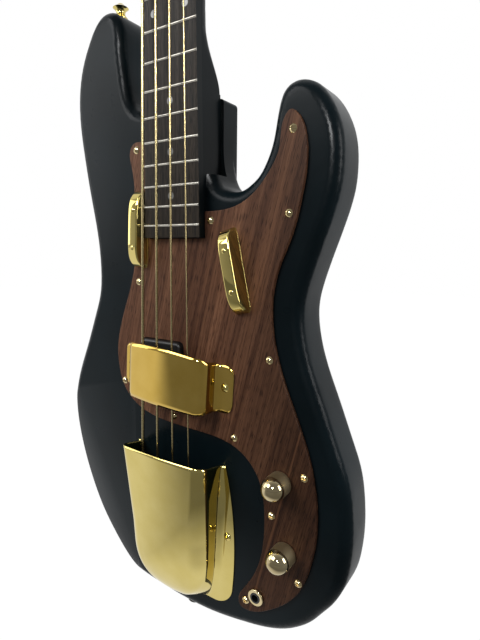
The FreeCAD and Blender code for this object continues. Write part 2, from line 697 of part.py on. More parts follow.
body = body.makeFillet(BODY_EDGE_R, rims)
# Behind the heel the slab keeps a squarer block, which runs out on the bass side
block_side = BLOCK_X + RUN_CLEAR
block_plan = [(block_side, BOARD_END_Z), (block_side, POCKET_END_Z), (0, POCKET_END_Z),
              (-BLOCK_X, POCKET_END_Z - BODY_EDGE_R), (-BLOCK_X, BOARD_END_Z)]
block_plan = [V(x, HEEL_BACK_Y, z) for x, z in block_plan]
heel_block = slab(rounded_path(block_plan, [0, BLOCK_CORNER_R, 0, 0, 0], True), V(0, BACK_Y - HEEL_BACK_Y, 0))
corner_low = POCKET_END_Z - BLOCK_CORNER_R - RUN_CLEAR
block_rims = [edge for edge in heel_block.Edges if edge.BoundBox.YMin > BACK_Y - BLOCK_EDGE_R
              and edge.BoundBox.XMin > -BLOCK_EDGE_R and edge.BoundBox.ZMax > corner_low]
body = body.fuse(heel_block.makeFillet(BLOCK_EDGE_R, block_rims))


def contour(crease_shares, face_y, inward):
    """The wedge that slopes the body away from a crease, towards the bass side."""
    top, low = [on_body(share, face_y) for share in crease_shares]
    run = (low - top).normalize()
    out = V(run.z, 0, -run.x) if run.z < 0 else V(-run.z, 0, run.x)
    reach = HALF_WIDTH
    drop = V(0, inward * reach * math.tan(math.radians(CONTOUR_ANGLE)), 0)
    lift = V(0, -inward * BODY_THICK, 0)
    start = top - run * BODY_LENGTH
    corners = [start, start + out * reach + drop, start + out * reach + lift, start + lift]
    return slab(rounded_path(corners, [0] * len(corners), True), run * (2 * BODY_LENGTH))


body = body.cut(contour(forearm_crease_shares, FACE_Y, 1))
pocket_open = block(0, BLOCK_X + OVERRUN, BOARD_TOP_Y, HEEL_BACK_Y, spline_points[-1].z,
                    POCKET_END_Z + OVERRUN)
body = body.cut([heel, pocket_open, board])

# Controls: potentiometers under the guard, with shafts, nuts and knobs above it
guard_tools = []
body_tools = []
pot_cases = []
nuts = []
for name, share in control_shares.items():
    top = on_body(share, GUARD_TOP_Y)
    under = on_body(share, FACE_Y)
    case = rod(POT_R, under + BACK * POT_SEAT, under + BACK * (POT_SEAT + POT_HEIGHT))
    shaft_start = under + BACK * (POT_SEAT + POT_HEIGHT / 2)
    bushing = rod(POT_BUSHING_R, top + FRONT * POT_BUSHING_RISE, shaft_start)
    case = case.fuse(bushing)
    washer = rod(NUT_R, under, under + BACK * POT_SEAT).cut(bushing)
    shaft_end = top + FRONT * POT_SHAFT_RISE
    well = rod(POT_SHAFT_R + RUN_CLEAR, shaft_start, shaft_end)
    pot_cases.append(case.cut(well))
    pot_shaft = rod(POT_SHAFT_R, shaft_start + FRONT * RUN_CLEAR, shaft_end)
    export(name + "_shaft", pot_shaft)
    turns = [math.pi * k / 3 for k in range(6)]
    hexagon = [top + V(NUT_R * math.cos(turn), 0, NUT_R * math.sin(turn)) for turn in turns]
    nut_body = slab(rounded_path(hexagon, [0] * len(hexagon), True), V(0, -NUT_HEIGHT, 0))
    nuts.append(nut_body.cut(bushing))
    nuts.append(washer)
    foot = top + FRONT * KNOB_GAP
    knob = rod(KNOB_R, foot, top + FRONT * KNOB_HEIGHT)
    crown = [edge for edge in knob.Edges if edge.Closed and edge.CenterOfMass.y < foot.y - KNOB_HEIGHT / 2]
    knob = knob.makeFillet(KNOB_DOME_R, crown)
    knob = knob.cut([rod(KNOB_HOLLOW_R, top, top + FRONT * KNOB_HOLLOW), pot_shaft])
    export(name + "_knob", knob)
    guard_tools.append(rod(POT_BUSHING_R, top + FRONT * OVERRUN, under + BACK * OVERRUN))
    body_tools.append(rod(POT_R + CAVITY_WALL, under + FRONT * OVERRUN, under + BACK * CAVITY_DEPTH))
export("pot_cases", *pot_cases)

# Output jack: a threaded barrel with its frame under the guard and a ring nut above it
jack_top = on_body(jack_share, GUARD_TOP_Y)
jack_under = on_body(jack_share, FACE_Y)
barrel = rod(JACK_R, jack_top + FRONT * JACK_RISE, jack_under + BACK * JACK_DEPTH)
jack_frame = rod(JACK_FRAME_R, jack_under, jack_under + BACK * JACK_FRAME)
bore = rod(JACK_BORE_R, jack_top + FRONT * OVERRUN, jack_under + BACK * (JACK_DEPTH + OVERRUN))
export("output_jack", barrel.fuse(jack_frame).cut(bore))
ring = rod(JACK_RING_R, jack_top, jack_top + FRONT * JACK_RING)
ring_rim = [edge for edge in ring.Edges if edge.Closed and edge.CenterOfMass.y < jack_top.y]
ring = ring.makeFillet(JACK_RING_EDGE_R, ring_rim)
nuts.append(ring.cut(rod(JACK_R, jack_top, jack_top + FRONT * JACK_RING)))
export("control_nuts", *nuts)
guard_tools.append(rod(JACK_R, jack_top + FRONT * OVERRUN, jack_under + BACK * OVERRUN))
body_tools.append(rod(JACK_FRAME_R + CAVITY_WALL, jack_under + FRONT * OVERRUN,
                      jack_under + BACK * CAVITY_DEPTH))

# Split pickup: two shells, each with a bobbin, a coil, four poles and two screws
string_spread = NUT_SPACING + (SADDLE_SPACING - NUT_SPACING) * (NUT_Z - PICKUP_Z) / SCALE_LENGTH
shell_top_y = GUARD_TOP_Y - PICKUP_RISE
bobbin_round_share = 0.98
shells, bobbins, coils, poles, pickup_screws = [], [], [], [], []
for side in (-1, 1):
    centre = V(side * string_spread, shell_top_y, PICKUP_Z - side * PICKUP_HALF_WIDTH / 2)
    half_x, half_z = PICKUP_HALF_LENGTH / 2, PICKUP_HALF_WIDTH / 2
    shell = rounded_slab(half_x, half_z, PICKUP_CORNER_R, centre, PICKUP_HEIGHT)
    top_rim = [edge for edge in shell.Edges if abs(edge.CenterOfMass.y - shell_top_y) < PICKUP_WALL]
    shell = shell.makeFillet(PICKUP_EDGE_R, top_rim)
    inside = rounded_slab(half_x - PICKUP_WALL, half_z - PICKUP_WALL, PICKUP_CORNER_R - PICKUP_WALL,
                          centre + BACK * PICKUP_WALL, PICKUP_HEIGHT)
    bobbin_top = centre + BACK * PICKUP_WALL
    core_half = BOBBIN_LENGTH / 2 - (BOBBIN_WIDTH - BOBBIN_CORE_WIDTH) / 2
    plate = rounded_slab(BOBBIN_LENGTH / 2, BOBBIN_WIDTH / 2, bobbin_round_share * BOBBIN_WIDTH / 2,
                         bobbin_top, BOBBIN_FLANGE)
    core = rounded_slab(core_half, BOBBIN_CORE_WIDTH / 2, bobbin_round_share * BOBBIN_CORE_WIDTH / 2,
                        bobbin_top, BOBBIN_HEIGHT)
    lower = plate.translated(BACK * (BOBBIN_HEIGHT - BOBBIN_FLANGE))
    wound = BOBBIN_WIDTH / 2 - BOBBIN_FLANGE / 2
    coil = rounded_slab(BOBBIN_LENGTH / 2 - BOBBIN_FLANGE / 2, wound, bobbin_round_share * wound,
                        bobbin_top + BACK * BOBBIN_FLANGE, BOBBIN_HEIGHT - 2 * BOBBIN_FLANGE)
    own_poles = []
    for string_x in (-string_spread / 2, string_spread / 2):
        for way in (-1, 1):
            seat = centre + V(string_x + way * POLE_SPREAD, 0, 0)
            own_poles.append(rod(POLE_R, seat + FRONT * POLE_PROUD,
                                 seat + BACK * (PICKUP_WALL + BOBBIN_HEIGHT)))
    screw_seats = [centre + V(way * (half_x - PICKUP_SCREW_INSET), 0, 0) for way in (-1, 1)]
    holes = [shank_hole(seat, FRONT, PICKUP_SCREW) for seat in screw_seats]
    shells.append(shell.cut([inside] + own_poles + holes))
    bobbins.append(plate.fuse([core, lower]).cut(own_poles))
    coils.append(coil.cut(core))
    poles += own_poles
    pickup_screws += [oval_screw(seat, FRONT, PICKUP_SCREW) for seat in screw_seats]
    well = rounded_slab(half_x + PICKUP_GAP, half_z + PICKUP_GAP, PICKUP_CORNER_R + PICKUP_GAP, centre,
                        PICKUP_HEIGHT + PICKUP_FLOOR)
    guard_tools.append(well)
    body_tools += [well] + holes
export("pickup_shells", *shells)
export("pickup_bobbins", *bobbins)
export("pickup_coils", *coils)
export("pickup_poles", *poles)
export("pickup_screws", *pickup_screws)

# Capacitor between the two potentiometers, and the leads to pickup and jack
lead_y = FACE_Y + POT_SEAT + POT_HEIGHT / 2
volume_at = on_body(control_shares["volume"], lead_y)
tone_at = on_body(control_shares["tone"], lead_y)
jack_at = on_body(jack_share, lead_y)
pickup_at = V(string_spread + PICKUP_HALF_LENGTH / 2, lead_y, PICKUP_Z - PICKUP_HALF_WIDTH / 2)
down = (tone_at - volume_at).normalize()
middle = (volume_at + tone_at) * 0.5
capacitor = rod(CAPACITOR_R, middle - down * (CAPACITOR_LENGTH / 2), middle + down * (CAPACITOR_LENGTH / 2))
capacitor = capacitor.fuse(rod(WIRE_R, volume_at + down * POT_R, tone_at - down * POT_R))
export("tone_capacitor", capacitor)
to_jack = (jack_at - tone_at).normalize()
to_pickup = (pickup_at - volume_at).normalize()
export("wiring", rod(WIRE_R, tone_at + to_jack * POT_R, jack_at - to_jack * JACK_R),
       rod(WIRE_R, volume_at + to_pickup * POT_R, pickup_at - to_pickup * WIRE_R))
body_tools.append(rod(CAPACITOR_R + CAVITY_WALL, volume_at, tone_at))
body_tools.append(rod(WIRE_WAY_R, tone_at, jack_at))
body_tools.append(rod(WIRE_WAY_R, volume_at, pickup_at))

# Thumb rest and finger rest: flared gilt castings, hollow beneath, on two screws each
rest_waist_share = 0.4
rest_screws = []


def rest(name, centre, lean):
    across = V(math.cos(math.radians(lean)), 0, math.sin(math.radians(lean)))
    along = V(-math.sin(math.radians(lean)), 0, math.cos(math.radians(lean)))

    def level(width, length, height, radius):
        ways = [(1, 1), (-1, 1), (-1, -1), (1, -1)]
        middle = centre + FRONT * height
        points = [middle + across * (x * width / 2) + along * (z * length / 2) for x, z in ways]
        return Part.Wire(rounded_path(points, [radius] * len(points), True))

    def flare(inset, height, foot):
        waist_width = (REST_WIDTH + 3 * REST_TOP_WIDTH) / 4
        waist_length = (REST_LENGTH + 2 * REST_TOP_LENGTH) / 3
        levels = [(REST_WIDTH, REST_LENGTH, -foot), (waist_width, waist_length, rest_waist_share * height),
                  (REST_TOP_WIDTH, REST_TOP_LENGTH, height)]
        return Part.makeLoft([level(width - 2 * inset, length - 2 * inset, up, REST_CORNER_R - inset)
                              for width, length, up in levels], True)

    shell = flare(0, REST_HEIGHT, 0).cut(flare(REST_WALL, REST_HEIGHT - REST_WALL, 0))
    seats = [centre + along * (way * REST_SCREW_SPACING / 2) for way in (-1, 1)]
    sink_r = REST_SCREW["head_r"] + RUN_CLEAR
    for seat in seats:
        shell = shell.fuse(rod(sink_r + REST_BOSS_WALL, seat, seat + FRONT * (REST_HEIGHT - REST_WALL)))
    for seat in seats:
        top = seat + FRONT * (REST_HEIGHT - REST_SINK)
        shell = shell.cut([rod(sink_r, top, top + FRONT * OVERRUN), shank_hole(top, FRONT, REST_SCREW)])
        rest_screws.append(oval_screw(top, FRONT, REST_SCREW))
        body_tools.append(shank_hole(top, FRONT, REST_SCREW))
        guard_tools.append(shank_hole(top, FRONT, REST_SCREW))
    export(name, shell)


thumb_rest_z = on_body((0, thumb_rest_z_share)).z
thumb_rest_x = neck_half(thumb_rest_z) + GUARD_GAP + REST_GAP + REST_WIDTH / 2
rest("thumb_rest", V(-thumb_rest_x, GUARD_TOP_Y, thumb_rest_z), THUMB_REST_LEAN)
rest("finger_rest", on_body(finger_rest_share, GUARD_TOP_Y), FINGER_REST_LEAN)
export("rest_screws", *rest_screws)

# Pickup cover: a strip bent to an arch, with an ear and a screw at each side
cover_screws = []


def bent_strip(points, radii, wall):
    """The outline of a strip with a wall about a centre line, bent at each point to its radius."""
    inner, outer, inner_r, outer_r = [], [], [], []
    for i, point in enumerate(points):
        ways = [(b - a).normalize() for a, b in zip(points[max(i - 1, 0):i + 1], points[i:i + 2]) if b != a]
        if i == 0 or i == len(points) - 1:
            run = (points[1] - points[0]) if i == 0 else (points[-1] - points[-2])
            ways = [run.normalize()]
        sides = [V(-way.y, way.x, 0) for way in ways]
        total = sides[0] + sides[-1]
        offset = total * (wall / (1 + sides[0].dot(sides[-1])) / 2)
        turn = ways[0].cross(ways[-1]).z
        bend = math.copysign(wall / 2, turn) if len(ways) > 1 else 0
        inner.append(point + offset)
        outer.append(point - offset)
        inner_r.append(radii[i] - bend if radii[i] else 0)
        outer_r.append(radii[i] + bend if radii[i] else 0)
    return rounded_path(inner + outer[::-1], inner_r + outer_r[::-1], True)


fold_x = PICKUP_COVER_WIDTH / 2 - PICKUP_COVER_EAR
top_x = fold_x - PICKUP_COVER_SPLAY
foot_y = GUARD_TOP_Y - COVER_WALL / 2
top_y = GUARD_TOP_Y - PICKUP_COVER_HEIGHT + COVER_WALL / 2
half_arch = [(PICKUP_COVER_WIDTH / 2, foot_y), (fold_x, foot_y), (top_x, top_y + PICKUP_COVER_CROWN)]
arch = [(-x, y) for x, y in half_arch] + [(0, top_y)] + half_arch[::-1]
crown_share = 0.6
crown_r = crown_share * top_x ** 2 / (2 * PICKUP_COVER_CROWN)
arch_radii = [0, COVER_FOLD_R, COVER_CORNER_R, crown_r, COVER_CORNER_R, COVER_FOLD_R, 0]
low_z = PICKUP_COVER_Z - PICKUP_COVER_LENGTH / 2
arch_points = [V(PICKUP_COVER_X + x, y, low_z) for x, y in arch]
pickup_cover = slab(bent_strip(arch_points, arch_radii, COVER_WALL), V(0, 0, PICKUP_COVER_LENGTH))
ear, long = PICKUP_COVER_EAR_LENGTH / 2, PICKUP_COVER_LENGTH / 2
plan = [(PICKUP_COVER_WIDTH / 2, ear), (fold_x, long), (-fold_x, long), (-PICKUP_COVER_WIDTH / 2, ear),
        (-PICKUP_COVER_WIDTH / 2, -ear), (-fold_x, -long), (fold_x, -long), (PICKUP_COVER_WIDTH / 2, -ear)]
plan_radii = [COVER_EAR_R, COVER_CORNER_R, COVER_CORNER_R, COVER_EAR_R] * 2
plan_points = [V(PICKUP_COVER_X + x, GUARD_TOP_Y + OVERRUN, PICKUP_COVER_Z + z) for x, z in plan]
plan_prism = slab(rounded_path(plan_points, plan_radii, True), V(0, -PICKUP_COVER_HEIGHT - 2 * OVERRUN, 0))
cover_middle = V(PICKUP_COVER_X, GUARD_TOP_Y - COVER_WALL, PICKUP_COVER_Z)
pickup_cover = pickup_cover.common(plan_prism).rotated(cover_middle, BACK, PICKUP_COVER_LEAN)
to_screw = V((PICKUP_COVER_WIDTH - PICKUP_COVER_EAR) / 2, 0, 0)
to_screw = FreeCAD.Rotation(BACK, PICKUP_COVER_LEAN).multVec(to_screw)
for way in (-1, 1):
    seat = cover_middle + to_screw * way
    hole = shank_hole(seat, FRONT, COVER_SCREW)
    pickup_cover = pickup_cover.cut(hole)
    cover_screws.append(oval_screw(seat, FRONT, COVER_SCREW))
    guard_tools.append(hole)
    body_tools.append(hole)
export("pickup_cover", pickup_cover)

# Bridge cover: a deep pressing, open towards the neck, rounded off at the tail, with a crescent ear each side
dome_tail_shares = [0.008, 0.025, 0.06, 0.13, 0.25, 0.42, 0.68, 1.0]
straight = BRIDGE_COVER_LENGTH - BRIDGE_COVER_TAIL


def eased(share, power):
    """Rises from nothing to one and stays there, square-shouldered as the power grows."""
    return (1 - (1 - min(share, 1)) ** power) ** (1 / power)


def dome(inset, past_front, below):
    """The cover's dome on straight legs: it rises and flares to the front and closes in round the tail."""
    def section(along):
        half = BRIDGE_COVER_DOME_WIDTH / 2 + BRIDGE_COVER_FLARE * max(0, along - BRIDGE_COVER_TAIL) / straight
        full = BRIDGE_COVER_HEIGHT - BRIDGE_COVER_FALL * (1 - along / BRIDGE_COVER_LENGTH)
        tail = eased(along / BRIDGE_COVER_TAIL_ROUND, DOME_TAIL_POWER)
        top_x = half * eased(along / BRIDGE_COVER_TAIL, DOME_PLAN_POWER) - inset
        foot_x = half * eased(along / BRIDGE_COVER_FOOT_TAIL, DOME_FOOT_POWER) - inset
        top_y = FACE_Y - full * tail + inset
        radius = (DOME_CORNER_R - inset) * tail
        z = BRIDGE_COVER_TAIL_Z + along
        right = [V(foot_x, FACE_Y + below, z), V(foot_x, FACE_Y, z), V(top_x, top_y, z)]
        left = [V(-point.x, point.y, point.z) for point in reversed(right)]
        return Part.Wire(rounded_path(right + left, [0, 0, radius, radius, 0, 0], True))

    tail_sections = [section(inset + share * (BRIDGE_COVER_TAIL - inset)) for share in dome_tail_shares]
    front = section(BRIDGE_COVER_LENGTH + past_front)
    return Part.makeLoft(tail_sections, True).fuse(Part.makeLoft([tail_sections[-1], front], True, True))


ear_back_z = BRIDGE_COVER_TAIL_Z + BRIDGE_COVER_EAR_END
front_z = BRIDGE_COVER_TAIL_Z + BRIDGE_COVER_LENGTH
ear_front_z = front_z - BRIDGE_COVER_FRONT_LEAN
cover_mid_z = BRIDGE_COVER_TAIL_Z + BRIDGE_COVER_LENGTH / 2
back_x, mid_x, front_x = BRIDGE_COVER_EAR_BACK / 2, BRIDGE_COVER_WIDTH / 2, BRIDGE_COVER_EAR_FRONT / 2
corners = [V(back_x, FACE_Y, ear_back_z), V(front_x, FACE_Y, ear_front_z),
           V(-front_x, FACE_Y, ear_front_z), V(-back_x, FACE_Y, ear_back_z)]
flange = slab([arc(corners[0], V(mid_x, FACE_Y, cover_mid_z), corners[1]), line(corners[1], corners[2]),
               arc(corners[2], V(-mid_x, FACE_Y, cover_mid_z), corners[3]), line(corners[3], corners[0])],
              V(0, -COVER_WALL, 0))
ear_corners = [edge for edge in flange.Edges
               if edge.BoundBox.YLength > COVER_WALL / 2 and edge.CenterOfMass.z < cover_mid_z]
flange = flange.makeFillet(BRIDGE_COVER_EAR_R, ear_corners)
lean = V(0, -BRIDGE_COVER_HEIGHT, BRIDGE_COVER_FRONT_LEAN)
lip_low = V(-mid_x, FACE_Y, ear_front_z) - lean
lip_high = lip_low + lean * 3
lip_depth = V(0, 0, BRIDGE_COVER_TAIL)
lip = [lip_low, lip_high, lip_high + lip_depth, lip_low + lip_depth]
ahead = slab(rounded_path(lip, [0] * len(lip), True), V(BRIDGE_COVER_WIDTH, 0, 0))
under_face = block(-mid_x - OVERRUN, mid_x + OVERRUN, FACE_Y, FACE_Y + BODY_THICK, 0, BODY_LENGTH)
bridge_cover = dome(0, 0, OVERRUN).fuse(flange).cut(under_face)
wall_feet = [edge for edge in bridge_cover.Edges
             if edge.BoundBox.YMin > FACE_Y - 2 * COVER_WALL and edge.BoundBox.YMax < FACE_Y - COVER_WALL / 2
             and abs(edge.CenterOfMass.x) < BRIDGE_COVER_DOME_WIDTH / 2 + BRIDGE_COVER_FLARE + COVER_WALL
             and straight / 2 < edge.Length < straight]
bridge_cover = bridge_cover.makeFillet(BRIDGE_COVER_FOLD_R, wall_feet)
bridge_cover = bridge_cover.cut(dome(COVER_WALL, OVERRUN, 2 * OVERRUN)).cut(ahead)
for way in (-1, 1):
    seat = V(way * BRIDGE_COVER_SCREW_X, FACE_Y - COVER_WALL, cover_mid_z)
    hole = shank_hole(seat, FRONT, COVER_SCREW)
    bridge_cover = bridge_cover.cut(hole)
    cover_screws.append(oval_screw(seat, FRONT, COVER_SCREW))
    body_tools.append(hole)
export("bridge_cover", bridge_cover)
export("cover_screws", *cover_screws)

# Bridge: a bent plate with four barrel saddles, their screws and springs
bridge_half = BRIDGE_WIDTH / 2
plate = block(-bridge_half, bridge_half, FACE_Y - BRIDGE_THICK, FACE_Y, LIP_BACK_Z, SADDLE_Z + BRIDGE_FRONT)
bridge = plate.fuse(block(-bridge_half, bridge_half, FACE_Y - BRIDGE_LIP, FACE_Y, LIP_BACK_Z,
                          LIP_BACK_Z + BRIDGE_THICK))
springs = []
for letter in letters:
    at_saddle, way = string_line[letter]
    radius = STRING_GAUGES[letter] / 2
    axis = V(at_saddle.x, at_saddle.y + radius + SADDLE_CLEAR + SADDLE_R, SADDLE_Z)
    end = V(SADDLE_LENGTH / 2, 0, 0)
    barrel = rod(SADDLE_R, axis - end, axis + end)
    foot_y = FACE_Y - BRIDGE_THICK - SADDLE_CLEAR
    screw_xs = [axis.x - HEIGHT_SCREW_X, axis.x + HEIGHT_SCREW_X]
    height_screws = [rod(HEIGHT_SCREW_R, V(x, axis.y - SADDLE_R / 2, SADDLE_Z), V(x, foot_y, SADDLE_Z))
                     for x in screw_xs]
    head_start = V(axis.x + TRIM_SCREW_X, axis.y, LIP_BACK_Z - RUN_CLEAR - TRIM_HEAD)
    head_end = head_start + V(0, 0, TRIM_HEAD)
    tip = V(head_start.x, axis.y, SADDLE_Z + SADDLE_R + TRIM_HEAD)
    trim_screw = rod(TRIM_SCREW_R, head_end, tip).fuse(rod(TRIM_HEAD_R, head_start, head_end))
    slot = TRIM_HEAD_R / 5
    trim_screw = trim_screw.cut(block(head_start.x - TRIM_HEAD_R, head_start.x + TRIM_HEAD_R, axis.y - slot,
                                      axis.y + slot, head_start.z, head_start.z + TRIM_HEAD / 2))
    clear = rod(TRIM_SCREW_R + RUN_CLEAR, head_start, tip + V(0, 0, OVERRUN))
    export("intonation_screw_" + letter, trim_screw)
    export("saddle_" + letter, barrel.cut(height_screws + [clear]), *height_screws)
    string_way = rod(radius + LOOSE_GAP, V(at_saddle.x, FACE_Y - BALL_SEAT_RISE, LIP_BACK_Z),
                     at_saddle - way * STRING_TAIL_RUN)
    bridge = bridge.cut([clear, string_way])
    lip_front = V(head_start.x, axis.y, LIP_BACK_Z + BRIDGE_THICK)
    spring_run = SADDLE_Z - SADDLE_R - lip_front.z - 2 * SPRING_WIRE_R
    stations = helix_stations(lip_front + V(0, 0, SPRING_WIRE_R), V(1, 0, 0), V(0, 1, 0), V(0, 0, 1),
                              SPRING_R, spring_run / SPRING_TURNS, 0, 2 * math.pi * SPRING_TURNS,
                              2 * SPRING_TURNS)
    edges = helix_edges(stations)
    springs.append(tube(edges, SPRING_WIRE_R))
    print("spring", letter, "gap to itself", round(self_gap(edges, 2 * SPRING_WIRE_R, 12), 2))
export("saddle_springs", *springs)
bridge_screws = []
for step in (-1, 0, 1):
    seat = V(step * BRIDGE_SCREW_SPACING, FACE_Y - BRIDGE_THICK, SADDLE_Z + BRIDGE_FRONT - BRIDGE_SCREW_INSET)
    hole = shank_hole(seat, FRONT, BRIDGE_SCREW)
    bridge = bridge.cut(hole)
    body_tools.append(hole)
    bridge_screws.append(oval_screw(seat, FRONT, BRIDGE_SCREW))
export("bridge_plate", bridge)
export("bridge_screws", *bridge_screws)

# Walnut guard: one plate with a notch for the neck and holes for what passes through it
guard_points = [on_body(share, GUARD_TOP_Y) for share in guard_outline_shares]
inside = NECK_WIDTH_HEEL / 4
guard_points.insert(0, V(-inside, GUARD_TOP_Y, guard_points[0].z))
guard_points.append(V(inside, GUARD_TOP_Y, guard_points[-1].z))
guard = slab(chain(spline(guard_points)) + [line(guard_points[-1], guard_points[0])], V(0, GUARD_THICK, 0))
guard = guard.makeFillet(GUARD_EDGE_R, spline_rims(guard, GUARD_TOP_Y))
notch_low, notch_high = BOARD_END_Z - GUARD_GAP, POCKET_END_Z + OVERRUN
low_half, high_half = neck_half(notch_low) + GUARD_GAP, neck_half(notch_high) + GUARD_GAP
notch = [(-low_half, notch_low), (low_half, notch_low), (high_half, notch_high), (-high_half, notch_high)]
notch = [V(x, GUARD_TOP_Y - OVERRUN, z) for x, z in notch]
guard = guard.cut(slab(rounded_path(notch, [0] * len(notch), True), V(0, GUARD_THICK + 2 * OVERRUN, 0)))
guard_screws = []
for share in guard_screw_shares:
    seat = on_body(share, GUARD_TOP_Y)
    hole = shank_hole(seat, FRONT, GUARD_SCREW)
    guard_tools.append(hole)
    body_tools.append(hole)
    guard_screws.append(oval_screw(seat, FRONT, GUARD_SCREW))
export("pickguard", guard.cut(guard_tools))
export("pickguard_screws", *guard_screws)

# Neck plate on the back, with four screws up into the heel
plate_centre = V(0, BACK_Y, (BOARD_END_Z + POCKET_END_Z) / 2)
neck_plate = rounded_slab(PLATE_WIDTH / 2, PLATE_LENGTH / 2, PLATE_CORNER_R, plate_centre, PLATE_THICK)
neck_screws = []
hole_x = PLATE_WIDTH / 2 - PLATE_HOLE_INSET
hole_z = PLATE_LENGTH / 2 - PLATE_HOLE_INSET
for x in (-hole_x, hole_x):
    for z in (-hole_z, hole_z):
        seat = plate_centre + V(x, PLATE_THICK, z)
        hole = shank_hole(seat, BACK, NECK_SCREW)
        neck_plate = neck_plate.cut(hole)
        neck = neck.cut(hole)
        body_tools.append(hole)
        neck_screws.append(oval_screw(seat, BACK, NECK_SCREW))
export("neck_plate", neck_plate)
export("neck_screws", *neck_screws)

# Strap buttons on the upper horn and on the butt
waist = [V(BUTTON_BASE_R, 0, BUTTON_RIM), V(BUTTON_WAIST_R, 0, BUTTON_HEIGHT / 2),
         V(BUTTON_HEAD_R, 0, BUTTON_HEIGHT - BUTTON_RIM)]
button_hole_r = BUTTON_SCREW["shank_r"]
crown = V(BUTTON_SCREW["head_r"], 0, BUTTON_HEIGHT)
base = V(BUTTON_BASE_R, 0, 0)
hole_foot, hole_top = V(button_hole_r, 0, 0), V(button_hole_r, 0, BUTTON_HEIGHT)
profile = [line(hole_foot, base), line(base, waist[0]), curve(waist), line(waist[-1], crown),
           line(crown, hole_top), line(hole_top, hole_foot)]
button = turned(profile)
horn_top = on_body(horn_button_share)
horn_seat = horn_top - V(0, 0, BUTTON_SEAT)
buttons, button_screws = [], []
for seat, way in ((horn_seat, V(0, 0, 1)), (V(0, 0, 0), V(0, 0, -1))):
    buttons.append(placed(button, seat, way))
    screw_seat = seat + way * BUTTON_HEIGHT
    button_screws.append(oval_screw(screw_seat, way, BUTTON_SCREW))
    body_tools.append(shank_hole(screw_seat, way, BUTTON_SCREW))
    body_tools.append(rod(BUTTON_BASE_R + GUARD_GAP, seat, seat + way * OVERRUN))
export("strap_buttons", *buttons)
export("strap_button_screws", *button_screws)
body = body.cut(body_tools)
# The slab is glued up from four planks, with joints that run along the neck
plank_joints = [on_body((share, 0)).x for share in plank_joint_shares]
plank_sides = [-BODY_WIDTH] + plank_joints + [BODY_WIDTH]
export("body", *[body.common(block(low, high, -BODY_THICK, BODY_THICK, -OVERRUN, BODY_LENGTH + OVERRUN))
                 for low, high in zip(plank_sides, plank_sides[1:])])

